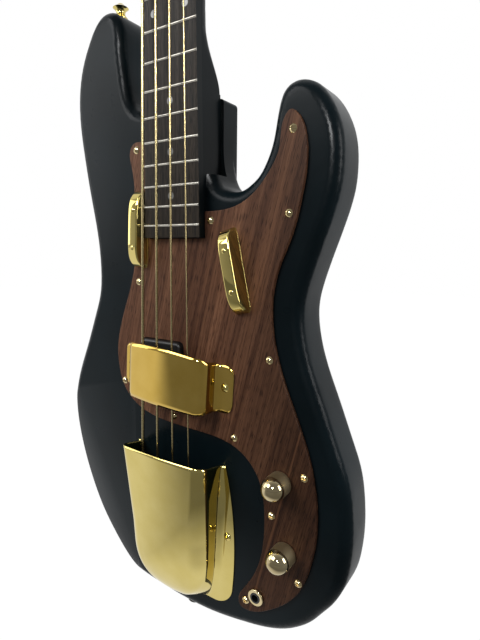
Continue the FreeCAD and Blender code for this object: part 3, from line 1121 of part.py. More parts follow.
# Tuners: plate with two lugs, bushing, worm key and geared post for each string
plates, bushings, tuner_screws = [], [], []
for letter in letters:
    side = tuner_side[letter]
    face = posts[letter]
    back = face + BACK * HEAD_THICK
    plate_back = back + BACK * TUNER_PLATE_THICK
    gear_front = plate_back + BACK * GEAR_STANDOFF
    gear_back = gear_front + BACK * GEAR_THICK
    worm = gear_front + BACK * (GEAR_THICK / 2) - V(0, 0, GEAR_R + WORM_R + MESH_GAP)
    post = rod(POST_R, face + FRONT * POST_RISE, gear_front).fuse(rod(GEAR_BORE_R, gear_front, gear_back))
    slot_low = face + FRONT * (POST_RISE - POST_SLOT_DEPTH)
    post = post.cut(block(face.x - POST_R, face.x + POST_R, slot_low.y - OVERRUN, slot_low.y,
                          face.z - POST_SLOT_WIDTH / 2, face.z + POST_SLOT_WIDTH / 2))
    notches = []
    for tooth in range(GEAR_TEETH):
        angle = 2 * math.pi * tooth / GEAR_TEETH
        spot = V(GEAR_R * math.cos(angle), 0, GEAR_R * math.sin(angle))
        notches.append(rod(GEAR_NOTCH_R, gear_front + spot + FRONT * OVERRUN,
                           gear_back + spot + BACK * OVERRUN))
    gear = rod(GEAR_R, gear_front, gear_back).cut([rod(GEAR_BORE_R, gear_front, gear_back)] + notches)
    export("tuner_post_" + letter, post, gear)
    bushing = rod(BUSHING_R, face, face + BACK * (HEAD_THICK / 2))
    bushing = bushing.fuse(rod(BUSHING_FLANGE_R, face + FRONT * BUSHING_FLANGE, face))
    post_way = rod(POST_R + RUN_CLEAR, face + FRONT * POST_RISE, gear_front)
    bushings.append(bushing.cut(post_way))
    # The worm shaft runs out to the button, through two lugs on the plate
    out = V(side, 0, 0)
    lug_inner = WORM_LENGTH / 2 + RUN_CLEAR
    shaft_start = worm - out * (lug_inner + KEY_LUG_THICK)
    shaft_end = worm + out * KEY_SHAFT_REACH
    worm_half = out * (WORM_LENGTH / 2)
    key = rod(KEY_SHAFT_R, shaft_start, shaft_end).fuse(rod(WORM_R, worm - worm_half, worm + worm_half))
    for groove in range(WORM_GROOVES):
        along = WORM_LENGTH * ((groove + 0.5) / WORM_GROOVES - 0.5)
        key = key.cut(Part.makeTorus(WORM_R, WORM_GROOVE_R, worm + out * along, out))
    paddle_centre = shaft_end + out * (KEY_BUTTON_LENGTH / 2 - KEY_BUTTON_GRIP)
    paddle_centre = paddle_centre + FRONT * (KEY_BUTTON_THICK / 2)
    paddle_rim = Part.Ellipse(paddle_centre + V(KEY_BUTTON_LENGTH / 2, 0, 0),
                              paddle_centre + V(0, 0, KEY_BUTTON_WIDTH / 2), paddle_centre)
    paddle = Part.Face(Part.Wire([paddle_rim.toShape()])).extrude(V(0, KEY_BUTTON_THICK, 0))
    paddle = paddle.makeFillet(KEY_BUTTON_EDGE_R, [edge for edge in paddle.Edges if edge.Closed]).cut(key)
    export("tuner_key_" + letter, key, paddle)
    half_plate = TUNER_PLATE_WIDTH / 2
    plate_low = face.z - TUNER_PLATE_FOOT
    plate_high = plate_low + TUNER_PLATE_LENGTH
    plate = block(face.x - half_plate, face.x + half_plate, back.y, plate_back.y, plate_low, plate_high)
    lug_half = KEY_SHAFT_R + KEY_LUG_WALL
    for way in (-1, 1):
        near, far = worm.x + way * lug_inner, worm.x + way * (lug_inner + KEY_LUG_THICK)
        plate = plate.fuse(block(min(near, far), max(near, far), back.y, worm.y + lug_half,
                                 worm.z - lug_half, worm.z + lug_half))
    plate = plate.cut([post_way, rod(KEY_SHAFT_R + RUN_CLEAR, shaft_start - out * OVERRUN, shaft_end)])
    for x in (-1, 1):
        for z in (plate_low + TUNER_PLATE_INSET, plate_high - TUNER_PLATE_INSET):
            seat = V(face.x + x * (half_plate - TUNER_PLATE_INSET), plate_back.y, z)
            hole = shank_hole(seat, BACK, TUNER_SCREW)
            plate = plate.cut(hole)
            neck = neck.cut(hole)
            tuner_screws.append(oval_screw(seat, BACK, TUNER_SCREW))
    plates.append(plate)
export("tuner_plates", *plates)
export("tuner_bushings", *bushings)
export("tuner_screws", *tuner_screws)
export("neck", neck)
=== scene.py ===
# Looks of a four-string electric bass guitar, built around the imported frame.
import math

import bpy
import numpy as np
from mathutils import Matrix, Vector


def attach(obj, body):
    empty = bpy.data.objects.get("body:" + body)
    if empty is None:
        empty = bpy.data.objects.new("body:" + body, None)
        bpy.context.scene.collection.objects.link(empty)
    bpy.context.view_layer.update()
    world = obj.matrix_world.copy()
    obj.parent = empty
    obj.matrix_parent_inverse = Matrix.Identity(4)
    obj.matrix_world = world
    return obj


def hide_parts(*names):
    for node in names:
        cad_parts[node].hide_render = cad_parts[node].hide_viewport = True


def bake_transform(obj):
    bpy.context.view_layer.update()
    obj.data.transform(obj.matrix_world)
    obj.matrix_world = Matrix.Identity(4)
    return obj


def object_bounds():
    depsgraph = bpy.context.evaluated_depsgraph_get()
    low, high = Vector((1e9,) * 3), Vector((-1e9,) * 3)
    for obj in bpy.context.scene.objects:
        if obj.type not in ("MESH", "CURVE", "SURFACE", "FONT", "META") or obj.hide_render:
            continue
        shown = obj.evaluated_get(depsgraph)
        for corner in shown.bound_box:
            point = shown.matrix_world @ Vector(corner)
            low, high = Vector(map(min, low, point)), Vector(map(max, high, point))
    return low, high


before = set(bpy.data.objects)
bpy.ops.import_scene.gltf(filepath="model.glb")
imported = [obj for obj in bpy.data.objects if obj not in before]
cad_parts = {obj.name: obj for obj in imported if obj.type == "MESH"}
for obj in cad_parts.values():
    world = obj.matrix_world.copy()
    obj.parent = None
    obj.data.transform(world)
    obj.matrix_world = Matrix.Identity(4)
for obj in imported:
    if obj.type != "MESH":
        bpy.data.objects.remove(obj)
cad_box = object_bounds()
MM = 0.001


# The body is a slab of light wood, routed round its edges and sprayed satin black.
# The spray leaves a fine orange peel, and the open horns take the light along their rims.
def linear(code):
    """A colour in sRGB hex as linear red, green, blue and alpha."""
    parts = np.array([int(code[i:i + 2], 16) for i in (1, 3, 5)]) / 255
    low = parts / 12.92
    high = ((parts + 0.055) / 1.055) ** 2.4
    return tuple(np.where(parts <= 0.04045, low, high)) + (1.0,)


def add_node(tree, kind, props=None, values=None, links=None, ramp=None):
    """One node with its settings, fixed inputs, links from other nodes' outputs, and a ramp's two stops."""
    made = tree.nodes.new(kind)
    for stop, (position, code) in zip(made.color_ramp.elements if ramp else (), ramp or ()):
        stop.position = position
        stop.color = linear(code)
    for name, value in (props or {}).items():
        setattr(made, name, value)
    for name, value in (values or {}).items():
        made.inputs[name].default_value = value
    for name, (source, output) in (links or {}).items():
        tree.links.new(source.outputs[output], made.inputs[name])
    return made


def new_surface(name, **fixed):
    """A material with its shader, whose constant sockets are set here, and its Object coordinates."""
    material = bpy.data.materials.new(name)
    material.use_nodes = True
    tree = material.node_tree
    tree.nodes.clear()
    shader = add_node(tree, "ShaderNodeBsdfPrincipled", values=fixed)
    add_node(tree, "ShaderNodeOutputMaterial", links={"Surface": (shader, "BSDF")})
    place = add_node(tree, "ShaderNodeTexCoord")
    return material, tree, shader, place


def noise(tree, source, cell, detail, **more):
    """Cloudy noise over a vector, with cells of a size in the vector's own unit."""
    return add_node(tree, "ShaderNodeTexNoise", values={"Scale": 1 / cell, "Detail": detail, **more},
                    links={"Vector": source})


def two_tone(tree, source, low, high):
    """A colour that goes from one stop to another, each a position and a hex code, as a value rises."""
    return add_node(tree, "ShaderNodeValToRGB", ramp=[low, high], links={"Fac": source})


def ranged(tree, source, low, high, start=0.0, end=1.0, ease="LINEAR"):
    """A value brought from start and end to low and high, and held there outside them."""
    return add_node(tree, "ShaderNodeMapRange", props={"interpolation_type": ease},
                    values={"From Min": start, "From Max": end, "To Min": low, "To Max": high},
                    links={"Value": source})


def relief(tree, shader, source, strength, depth):
    """A fine relief of some depth in the shader's normal, from a height."""
    bump = add_node(tree, "ShaderNodeBump", values={"Strength": strength, "Distance": depth},
                    links={"Height": source})
    tree.links.new(bump.outputs["Normal"], shader.inputs["Normal"])


def dress(material, *nodes):
    """Gives CAD nodes a finish, and rounds their shading between edges sharper than the angle."""
    for name in nodes:
        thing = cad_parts[name]
        thing.data.materials.clear()
        thing.data.materials.append(material)
        thing.data.polygons.foreach_set("use_smooth", np.ones(len(thing.data.polygons), bool))
        thing.modifiers.new("weld", "WELD").merge_threshold = 0.002 * MM
        split = thing.modifiers.new("sharp", "EDGE_SPLIT")
        split.split_angle = math.radians(32)
        lean = thing.modifiers.new("flats", "WEIGHTED_NORMAL")
        lean.weight = 80
        lean.keep_sharp = True


def sprayed_black(name, dark, light, rough_low, rough_high):
    """Satin black lacquer: cool cloudy black, with a spray grain drawn at 1.2 mm so that it shows."""
    material, tree, shader, place = new_surface(name, **{"IOR": 1.5, "Specular IOR Level": 0.09})
    cloud = noise(tree, (place, "Object"), 70 * MM, 3.0)
    tone = two_tone(tree, (cloud, "Fac"), (0.35, dark), (0.68, light))
    tree.links.new(tone.outputs["Color"], shader.inputs["Base Color"])
    rub = noise(tree, (place, "Object"), 14 * MM, 4.0)
    rough = ranged(tree, (rub, "Fac"), rough_low, rough_high)
    tree.links.new(rough.outputs["Result"], shader.inputs["Roughness"])
    peel = noise(tree, (place, "Object"), 1.2 * MM, 1.0)
    relief(tree, shader, (peel, "Fac"), 0.12, 0.05 * MM)
    return material


body_lacquer = sprayed_black("satin_black_lacquer", "#081216", "#0f1b20", 0.25, 0.33)
dress(body_lacquer, "body")

# The neck is maple under the same satin black, screwed into its pocket from behind.
# Its plate and screws are gilt, and a steel rod lies hidden along it.
neck_lacquer = sprayed_black("satin_black_neck_lacquer", "#081013", "#0e161a", 0.28, 0.38)
dress(neck_lacquer, "neck")


def gilt(name, shade, bright, rough, wave, satin=None):
    """Polished gold plate: a mirror with faint cloudy tarnish, and slow waves left by the buffing wheel.
    Satin is a front depth, a back depth and a roughness: the plate turns matt between the two depths."""
    material, tree, shader, place = new_surface(name, **{"Metallic": 1.0})
    tarnish = noise(tree, (place, "Object"), 26 * MM, 5.0)
    tone = two_tone(tree, (tarnish, "Fac"), (0.30, shade), (0.72, bright))
    tree.links.new(tone.outputs["Color"], shader.inputs["Base Color"])
    if satin:
        front, back, matt = satin
        depth = add_node(tree, "ShaderNodeSeparateXYZ", links={"Vector": (place, "Object")})
        rough_range = ranged(tree, (depth, "Y"), rough, matt, front, back, "SMOOTHSTEP")
    else:
        haze = noise(tree, (place, "Object"), 7 * MM, 6.0)
        rough_range = ranged(tree, (haze, "Fac"), 0.6 * rough, 1.5 * rough)
    tree.links.new(rough_range.outputs["Result"], shader.inputs["Roughness"])
    buff = noise(tree, (place, "Object"), 11 * MM, 0.0)
    relief(tree, shader, (buff, "Fac"), wave, 0.4 * MM)
    return material


gold_plate = gilt("polished_gold_plate", "#c8b66c", "#d1c07b", 0.04, 0.03)
dress(gold_plate, "neck_plate", "neck_screws")


def plain_metal(name, shade, bright, rough):
    """Plain drawn metal: fine hazy scratches that run at about 0.6 mm."""
    material, tree, shader, place = new_surface(name, **{"Metallic": 1.0})
    haze = noise(tree, (place, "Object"), 0.6 * MM, 4.0)
    tone = two_tone(tree, (haze, "Fac"), (0.3, shade), (0.7, bright))
    tree.links.new(tone.outputs["Color"], shader.inputs["Base Color"])
    rough_range = ranged(tree, (haze, "Fac"), 0.7 * rough, 1.3 * rough)
    tree.links.new(rough_range.outputs["Result"], shader.inputs["Roughness"])
    return material


plain_steel = plain_metal("drawn_steel", "#a9abac", "#d4d6d7", 0.28)
dress(plain_steel, "truss_rod")


# The fretboard is a flat strip of dark rosewood, oiled and not lacquered.
# Its grain runs with the strings: brown streaks of 2 to 6 mm and open pores.
# The neck's black paint covers its sides.
def grain_field(tree, place, lean, across, along):
    """Object coordinates turned back by a lean in the face's plane, then divided by the grain's sizes."""
    return add_node(tree, "ShaderNodeMapping", props={"vector_type": "TEXTURE"},
                    values={"Rotation": (0.0, math.radians(lean), 0.0), "Scale": (across, across, along)},
                    links={"Vector": (place, "Object")})


def multiplied(tree, share, first, second):
    """One colour multiplied by a share of another."""
    return add_node(tree, "ShaderNodeMix", props={"data_type": "RGBA", "blend_type": "MULTIPLY"},
                    values={0: share}, links={6: first, 7: second})


def maths(tree, operation, *terms):
    """One step of arithmetic, whose terms are numbers or nodes' outputs."""
    values = {k: term for k, term in enumerate(terms) if not isinstance(term, tuple)}
    links = {k: term for k, term in enumerate(terms) if isinstance(term, tuple)}
    return add_node(tree, "ShaderNodeMath", props={"operation": operation}, values=values, links=links)


rosewood, tree, shader, place = new_surface("oiled_rosewood", **{"IOR": 1.47, "Specular IOR Level": 0.15})
streak_field = grain_field(tree, place, 0.0, 3.5 * MM, 120 * MM)
streaks = noise(tree, (streak_field, "Vector"), 1.0, 6.0, Roughness=0.65, Distortion=0.4)
tone = two_tone(tree, (streaks, "Fac"), (0.36, "#1a1510"), (0.70, "#41362a"))
pore_field = grain_field(tree, place, 0.0, 0.5 * MM, 9 * MM)
pores = noise(tree, (pore_field, "Vector"), 1.0, 2.0)
pore_mask = two_tone(tree, (pores, "Fac"), (0.36, "#5a5a5a"), (0.48, "#ffffff"))
wood_colour = multiplied(tree, 1.0, (tone, "Color"), (pore_mask, "Color"))
facing = add_node(tree, "ShaderNodeNewGeometry")
facing_parts = add_node(tree, "ShaderNodeSeparateXYZ", links={"Vector": (facing, "Normal")})
sideways = maths(tree, "ABSOLUTE", (facing_parts, "X"))
painted = add_node(tree, "ShaderNodeMix", props={"data_type": "RGBA"}, values={7: linear("#0d1315")},
                   links={0: (sideways, "Value"), 6: (wood_colour, 2)})
tree.links.new(painted.outputs[2], shader.inputs["Base Color"])
oil = ranged(tree, (streaks, "Fac"), 0.52, 0.38)
tree.links.new(oil.outputs["Result"], shader.inputs["Roughness"])
relief(tree, shader, (pores, "Fac"), 0.35, 0.1 * MM)
dress(rosewood, "fretboard")

# Frets are nickel silver wire pressed into slots and dressed to a round crown.
# The position dots are grey pearl discs let in flush, and the nut is a black bar.
nickel_silver = plain_metal("dressed_nickel_silver", "#8f8c84", "#b7b3aa", 0.24)
dress(nickel_silver, "frets")
pearl_gloss = {"IOR": 1.55, "Coat Weight": 0.4, "Coat Roughness": 0.15, "Roughness": 0.3}
pearl, tree, shader, place = new_surface("grey_pearl", **pearl_gloss)
nacre = noise(tree, (place, "Object"), 2.2 * MM, 2.0)
tone = two_tone(tree, (nacre, "Fac"), (0.3, "#737472"), (0.7, "#8b8b88"))
tree.links.new(tone.outputs["Color"], shader.inputs["Base Color"])
dress(pearl, "position_dots")


def moulded(name, shade, bright, rough):
    """Moulded plastic: nearly even colour with a fine matt grain of 0.8 mm."""
    material, tree, shader, place = new_surface(name, **{"IOR": 1.5})
    grain = noise(tree, (place, "Object"), 0.8 * MM, 3.0)
    tone = two_tone(tree, (grain, "Fac"), (0.3, shade), (0.7, bright))
    tree.links.new(tone.outputs["Color"], shader.inputs["Base Color"])
    rough_range = ranged(tree, (grain, "Fac"), 0.85 * rough, 1.15 * rough)
    tree.links.new(rough_range.outputs["Result"], shader.inputs["Roughness"])
    relief(tree, shader, (grain, "Fac"), 0.1, 0.05 * MM)
    return material


black_bone = moulded("black_synthetic_bone", "#151515", "#1e1e1e", 0.35)
dress(black_bone, "nut")

# The guard is one plate of oiled walnut, sawn on the slant so that its long grain leans to the treble side.
# Warm brown with darker bands of 10 to 25 mm, fine lines of 1 to 2 mm, short pores and a few pale streaks.
# Across the grain a painted shade darkens it towards the treble side.
WALNUT_LEAN = 14.0
walnut, tree, shader, place = new_surface("oiled_walnut", **{"IOR": 1.47, "Specular IOR Level": 0.12})
band_field = grain_field(tree, place, WALNUT_LEAN, 17 * MM, 420 * MM)
bands = noise(tree, (band_field, "Vector"), 1.0, 4.0, Roughness=0.55, Distortion=0.6)
line_field = grain_field(tree, place, WALNUT_LEAN, 2.2 * MM, 160 * MM)
lines = noise(tree, (line_field, "Vector"), 1.0, 5.0, Roughness=0.7)
pore_field = grain_field(tree, place, WALNUT_LEAN, 0.7 * MM, 10 * MM)
pores = noise(tree, (pore_field, "Vector"), 1.0, 1.0)
band_tone = two_tone(tree, (bands, "Fac"), (0.30, "#5d3b2b"), (0.70, "#986b50"))
line_tone = two_tone(tree, (lines, "Fac"), (0.32, "#8f7f76"), (0.62, "#ffffff"))
lined = multiplied(tree, 0.85, (band_tone, "Color"), (line_tone, "Color"))
pore_tone = two_tone(tree, (pores, "Fac"), (0.33, "#6a605a"), (0.45, "#ffffff"))
pored = multiplied(tree, 0.8, (lined, 2), (pore_tone, "Color"))
# Painted shade: the guard's colour is darkened across the grain towards the treble side.
across_grain = (-math.cos(math.radians(WALNUT_LEAN)), 0.0, math.sin(math.radians(WALNUT_LEAN)))
depth = add_node(tree, "ShaderNodeVectorMath", props={"operation": "DOT_PRODUCT"}, values={1: across_grain},
                 links={0: (place, "Object")})
painted_treble_shade = ranged(tree, (depth, "Value"), 0.40, 1.0, -65 * MM, 40 * MM, "SMOOTHSTEP")
shade_darkened = multiplied(tree, 1.0, (pored, 2), (painted_treble_shade, "Result"))
pale_field = grain_field(tree, place, WALNUT_LEAN, 4.5 * MM, 600 * MM)
pale_lines = noise(tree, (pale_field, "Vector"), 1.0, 2.0)
pale_share = ranged(tree, (pale_lines, "Fac"), 0.0, 0.45, 0.60, 0.72, "SMOOTHSTEP")
streaked = add_node(tree, "ShaderNodeMix", props={"data_type": "RGBA"}, values={7: linear("#80583f")},
                    links={0: (pale_share, "Result"), 6: (shade_darkened, 2)})
tree.links.new(streaked.outputs[2], shader.inputs["Base Color"])
oil = ranged(tree, (lines, "Fac"), 0.55, 0.40)
tree.links.new(oil.outputs["Result"], shader.inputs["Roughness"])
relief(tree, shader, (pores, "Fac"), 0.3, 0.12 * MM)
dress(walnut, "pickguard")
champagne_plate = gilt("champagne_gold_plate", "#bda878", "#d9caa2", 0.03, 0.03)
dress(champagne_plate, "pickguard_screws")

# The split pickup has two black moulded shells, each over a wound bobbin with steel poles.
# Only its shells, poles and screws show, under the gilt cover.
black_plastic = moulded("moulded_black_plastic", "#0c0c0d", "#141415", 0.40)
dress(black_plastic, "pickup_shells", "pickup_bobbins")
enamelled_wire = plain_metal("enamelled_copper_wire", "#7c3a1c", "#b0623a", 0.3)
dress(enamelled_wire, "pickup_coils")
dress(plain_steel, "pickup_poles", "pickup_screws")

# Controls: two potentiometers and the jack hang from the guard by their nuts.
# Cases and shafts are steel and the nuts are gilt. The jack is all black: partly its real black insulation,
# partly painted dark reflection.
# The capacitor is dipped in brown resin.
dress(plain_steel, "pot_cases", "volume_shaft", "tone_shaft")
dress(champagne_plate, "control_nuts")
# The jack's black plastic is partly painted dark reflection.
dress(black_plastic, "output_jack")
dipped_resin = moulded("dipped_brown_resin", "#5c2313", "#7a3018", 0.22)
dress(dipped_resin, "tone_capacitor")
wire_cover = moulded("black_wire_insulation", "#111111", "#1c1c1c", 0.5)
dress(wire_cover, "wiring")


# Each knob is a turned brass cap with a domed crown, buffed and gilt, pushed on its shaft.
# Its skirt is hollow, matt on the outside, and stands just clear of the guard.
def skin(name, grids, material, uv=None):
    """A mesh from grids of points, rows by columns: each four neighbours are a face.
    Flags close a grid on itself. The faces' signed volume about the grid's middle says which way round
    they go, so that they point outwards."""
    points, faces, start = [], [], 0
    for grid, wrap_rows, wrap_columns in grids:
        rows, columns = grid.shape[:2]
        numbers = start + np.arange(rows * columns).reshape(rows, columns)
        if wrap_rows:
            numbers = np.vstack([numbers, numbers[:1]])
        if wrap_columns:
            numbers = np.hstack([numbers, numbers[:, :1]])
        corners = [numbers[:-1, :-1], numbers[:-1, 1:], numbers[1:, 1:], numbers[1:, :-1]]
        quads = np.stack(corners, -1).reshape(-1, 4)
        flat = grid.reshape(-1, 3)
        a, b, c, d = (flat[quads[:, k] - start] - flat.mean(0) for k in range(4))
        volume = np.sum(a * (np.cross(b, c) + np.cross(c, d)))
        faces.append(quads if volume >= 0 else quads[:, ::-1])
        points.append(flat)
        start += rows * columns
    mesh = bpy.data.meshes.new(name)
    mesh.from_pydata(np.concatenate(points), [], np.concatenate(faces))
    mesh.polygons.foreach_set("use_smooth", np.ones(len(mesh.polygons), bool))
    if uv is not None:
        layer = mesh.uv_layers.new(name="wrap")
        corner = np.empty(len(mesh.loops), np.int32)
        mesh.loops.foreach_get("vertex_index", corner)
        layer.uv.foreach_set("vector", uv[corner].astype(np.float32).ravel())
    mesh.materials.append(material)
    thing = bpy.data.objects.new(name, mesh)
    bpy.context.scene.collection.objects.link(thing)
    return thing


def rounded_run(corners, radii, steps):
    """A line through corners in a plane, each rounded by an arc of its radius, as one array of points."""
    corners = np.array(corners, float)
    runs = [corners[:1]]
    for back, corner, on, radius in zip(corners[:-2], corners[1:-1], corners[2:], radii):
        to_back = (back - corner) / np.linalg.norm(back - corner)
        to_on = (on - corner) / np.linalg.norm(on - corner)
        half = math.acos(np.clip(np.dot(to_back, to_on), -1, 1)) / 2
        middle = (to_back + to_on) / np.linalg.norm(to_back + to_on)
        centre = corner + middle * radius / math.sin(half)
        sweep = np.linspace(-1, 1, steps)[:, None] * (math.pi / 2 - half)
        side = (to_on - to_back) / np.linalg.norm(to_on - to_back)
        runs.append(centre - radius * (np.cos(sweep) * middle - np.sin(sweep) * side))
    runs.append(corners[-1:])
    return np.concatenate(runs)


GUARD_TOP = -25.225
KNOB_R, KNOB_STRAIGHT, KNOB_CROWN, KNOB_CLEAR = 10.1, 12.4, 9.6, 0.5
KNOB_BORE_R, KNOB_BORE_TOP, KNOB_HOLLOW_R, KNOB_HOLLOW_TOP = 3, 15, 7.8, 8
KNOBS = {"volume": (109.224, 157.635), "tone": (114.964, 97.745)}
inside = [(0, KNOB_BORE_TOP), (KNOB_BORE_R, KNOB_BORE_TOP), (KNOB_BORE_R, KNOB_HOLLOW_TOP),
          (KNOB_HOLLOW_R, KNOB_HOLLOW_TOP), (KNOB_HOLLOW_R, KNOB_CLEAR)]
skirt = [(KNOB_R, KNOB_CLEAR), (KNOB_R, KNOB_STRAIGHT)]
skirt_profile = rounded_run(inside + skirt, [0.05, 0.05, 0.05, 0.2, 0.5], 6)
crown = np.linspace(0, np.pi / 2, 24)
crown_profile = np.stack([KNOB_R * np.cos(crown), KNOB_STRAIGHT + KNOB_CROWN * np.sin(crown)], -1)
knob_profile = np.concatenate([skirt_profile, crown_profile[1:]])
turn = np.linspace(0, 2 * np.pi, 96, endpoint=False)
matt_skirt = ((GUARD_TOP - 14.5) * MM, (GUARD_TOP - 11.5) * MM, 0.42)
knob_gold = gilt("polished_knob_gold", "#b3a27a", "#cfc3a0", 0.06, 0.03, matt_skirt)
for name, (x, z) in KNOBS.items():
    radius, height = knob_profile[:, :1], knob_profile[:, 1:]
    grid = np.stack([x + radius * np.cos(turn), GUARD_TOP - height + 0 * turn, z + radius * np.sin(turn)], -1)
    knob = skin(name + "_knob_cap", [(grid * MM, False, True)], knob_gold)
    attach(knob, name + "_control")
    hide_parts(name + "_knob")

# The bridge is a bent gilt plate with a lip, and barrel saddles that ride on two small screws each.
# A long screw through the lip draws each saddle back against its spring.
dress(gold_plate, "bridge_plate", "bridge_screws")
# Each string's step from the middle, its gauge, and its post's place.
STRINGS = {"e": (-1.5, 2.67, -22.0, 1014.0), "a": (-0.5, 2.16, -22.0, 1076.0),
           "d": (0.5, 1.65, 22.0, 1076.0), "g": (1.5, 1.14, 22.0, 1014.0)}
SADDLE_STEP, NUT_STEP = 19.05, 10.5
SADDLE_Z, NUT_Z, LIP_FRONT_Z = 92.4, 956.0, 50.4
SADDLE_Y, NUT_Y = -43.95, -34.65
SADDLE_R, SADDLE_GAP, SCREW_ASIDE = 4.7, 0.12, 4.2
SPRING_TURNS, SPRING_STEPS, SPRING_R, SPRING_WIRE_R = 7, 28, 1.95, 0.25


def tube_grid(line, radius, about, sides):
    """A round tube on a line of points. Its rings stand square to the run, about a steady direction."""
    run = np.gradient(line, axis=0)
    run /= np.linalg.norm(run, axis=1)[:, None]
    side = np.cross(run, about)
    side /= np.linalg.norm(side, axis=1)[:, None]
    up = np.cross(side, run)
    angle = np.linspace(0, 2 * np.pi, sides, endpoint=False)[None, :, None]
    return line[:, None] + radius * (np.cos(angle) * side[:, None] + np.sin(angle) * up[:, None])


spring_steel = plain_metal("spring_steel_wire", "#9a9c9e", "#c9cbcd", 0.22)
for letter, (step, gauge, post_x, post_z) in STRINGS.items():
    dress(gold_plate, "saddle_" + letter, "intonation_screw_" + letter)
    screw_y = SADDLE_Y + gauge / 2 + SADDLE_GAP + SADDLE_R
    screw_x = step * SADDLE_STEP + SCREW_ASIDE
    share = np.linspace(0, 1, SPRING_TURNS * SPRING_STEPS + 1)
    coil = share * SPRING_TURNS * 2 * np.pi
    spring_long = SADDLE_Z - SADDLE_R - LIP_FRONT_Z - 2 * SPRING_WIRE_R
    rise = LIP_FRONT_Z + SPRING_WIRE_R + share * spring_long
    line = np.stack([screw_x + SPRING_R * np.cos(coil), screw_y + SPRING_R * np.sin(coil), rise], -1)
    grid = tube_grid(line, SPRING_WIRE_R, np.array([0.0, 0.0, 1.0]), 10)
    spring = skin("saddle_spring_" + letter, [(grid * MM, False, True)], spring_steel)
    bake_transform(spring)
    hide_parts("saddle_springs")

# Strings: a steel core wound with round wire, with a brass ball at the bridge and two turns on the post.
# The winding is drawn at 0.7 mm, coarser than life, so that it shows.
BALL_Y, BALL_Z, WINDING_Y, POST_R = -30.225, 48.4, -29.95, 6.3
POST_TURNS, POST_STEPS, WINDING_GAP, STRING_BEND_R, BEND_STEPS = 2, 48, 0.5, 14, 12
STRING_SIDES, BALL_SIDES = 16, 24
ball_r = np.array([3.0, 2.9, 1.4, 1.2, 1.2, 1.4, 2.9, 3.0])[:, None]
ball_rise = np.array([-4.6, -5.0, -5.0, -4.7, -0.3, 0.0, 0.0, -0.4])[:, None]
wire_gloss = {"Metallic": 1.0, "Roughness": 0.26}
wound_wire, tree, shader, place = new_surface("round_wound_string_wire", **wire_gloss)
wrap = add_node(tree, "ShaderNodeTexWave", props={"bands_direction": "X"},
                values={"Scale": 1 / (0.7 * 6.283), "Distortion": 0.0}, links={"Vector": (place, "UV")})
tone = two_tone(tree, (wrap, "Fac"), (0.2, "#94865f"), (0.8, "#b5a67c"))
tree.links.new(tone.outputs["Color"], shader.inputs["Base Color"])
relief(tree, shader, (wrap, "Fac"), 0.04, 0.05 * MM)
for letter, (step, gauge, post_x, post_z) in STRINGS.items():
    radius = gauge / 2
    at_saddle = np.array([step * SADDLE_STEP, SADDLE_Y, SADDLE_Z])
    at_nut = np.array([step * NUT_STEP, NUT_Y, NUT_Z])
    way = (at_nut - at_saddle) / np.linalg.norm(at_nut - at_saddle)
    ball = np.array([step * SADDLE_STEP, BALL_Y, BALL_Z])
    behind_nut = at_nut + 5 * way
    side = math.copysign(1, post_x)
    wound_r = POST_R + radius
    across, ahead = post_x - behind_nut[0], post_z - behind_nut[2]
    lean = math.atan2(across, ahead) - side * math.asin(wound_r / math.hypot(across, ahead))
    first = math.atan2(-math.sin(lean), math.cos(lean)) + (math.pi if side > 0 else 0)
    share = np.linspace(0, 1, POST_TURNS * POST_STEPS + 1)
    turn_angle = first - side * share * 2 * POST_TURNS * np.pi
    winding_y = WINDING_Y + share * POST_TURNS * (gauge + WINDING_GAP)
    coil = np.stack([post_x + wound_r * np.cos(turn_angle), winding_y,
                     post_z + wound_r * np.sin(turn_angle)], -1)
    bends = [ball, at_saddle - 7 * way, behind_nut, coil[0]]
    run = rounded_run(bends, [STRING_BEND_R, STRING_BEND_R], BEND_STEPS)
    long_run = np.linspace(run[BEND_STEPS], run[BEND_STEPS + 1], 60)
    line = np.concatenate([run[:BEND_STEPS], long_run, run[BEND_STEPS + 2:-1], coil])
    length = np.concatenate([[0], np.cumsum(np.linalg.norm(np.diff(line, axis=0), axis=1))])
    grid = tube_grid(line, radius, np.array([0.0, 1.0, 0.0]), STRING_SIDES)
    ring = np.linspace(0, 2 * np.pi, BALL_SIDES, endpoint=False)
    ball_grid = np.stack([ball[0] + ball_r * np.cos(ring), ball[1] + ball_r * np.sin(ring),
                          ball[2] + ball_rise + 0 * ring], -1)
    round_share = np.arange(STRING_SIDES) / STRING_SIDES
    wrap_uv = np.stack(np.broadcast_arrays(length[:, None], round_share), -1).reshape(-1, 2)
    wrap_uv = np.concatenate([wrap_uv, np.zeros((ball_grid.shape[0] * BALL_SIDES, 2))])
    tubes = [(grid * MM, False, True), (ball_grid * MM, True, True)]
    string = skin("wound_string_" + letter, tubes, wound_wire, wrap_uv)
    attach(string, "instrument")
    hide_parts("string_" + letter)

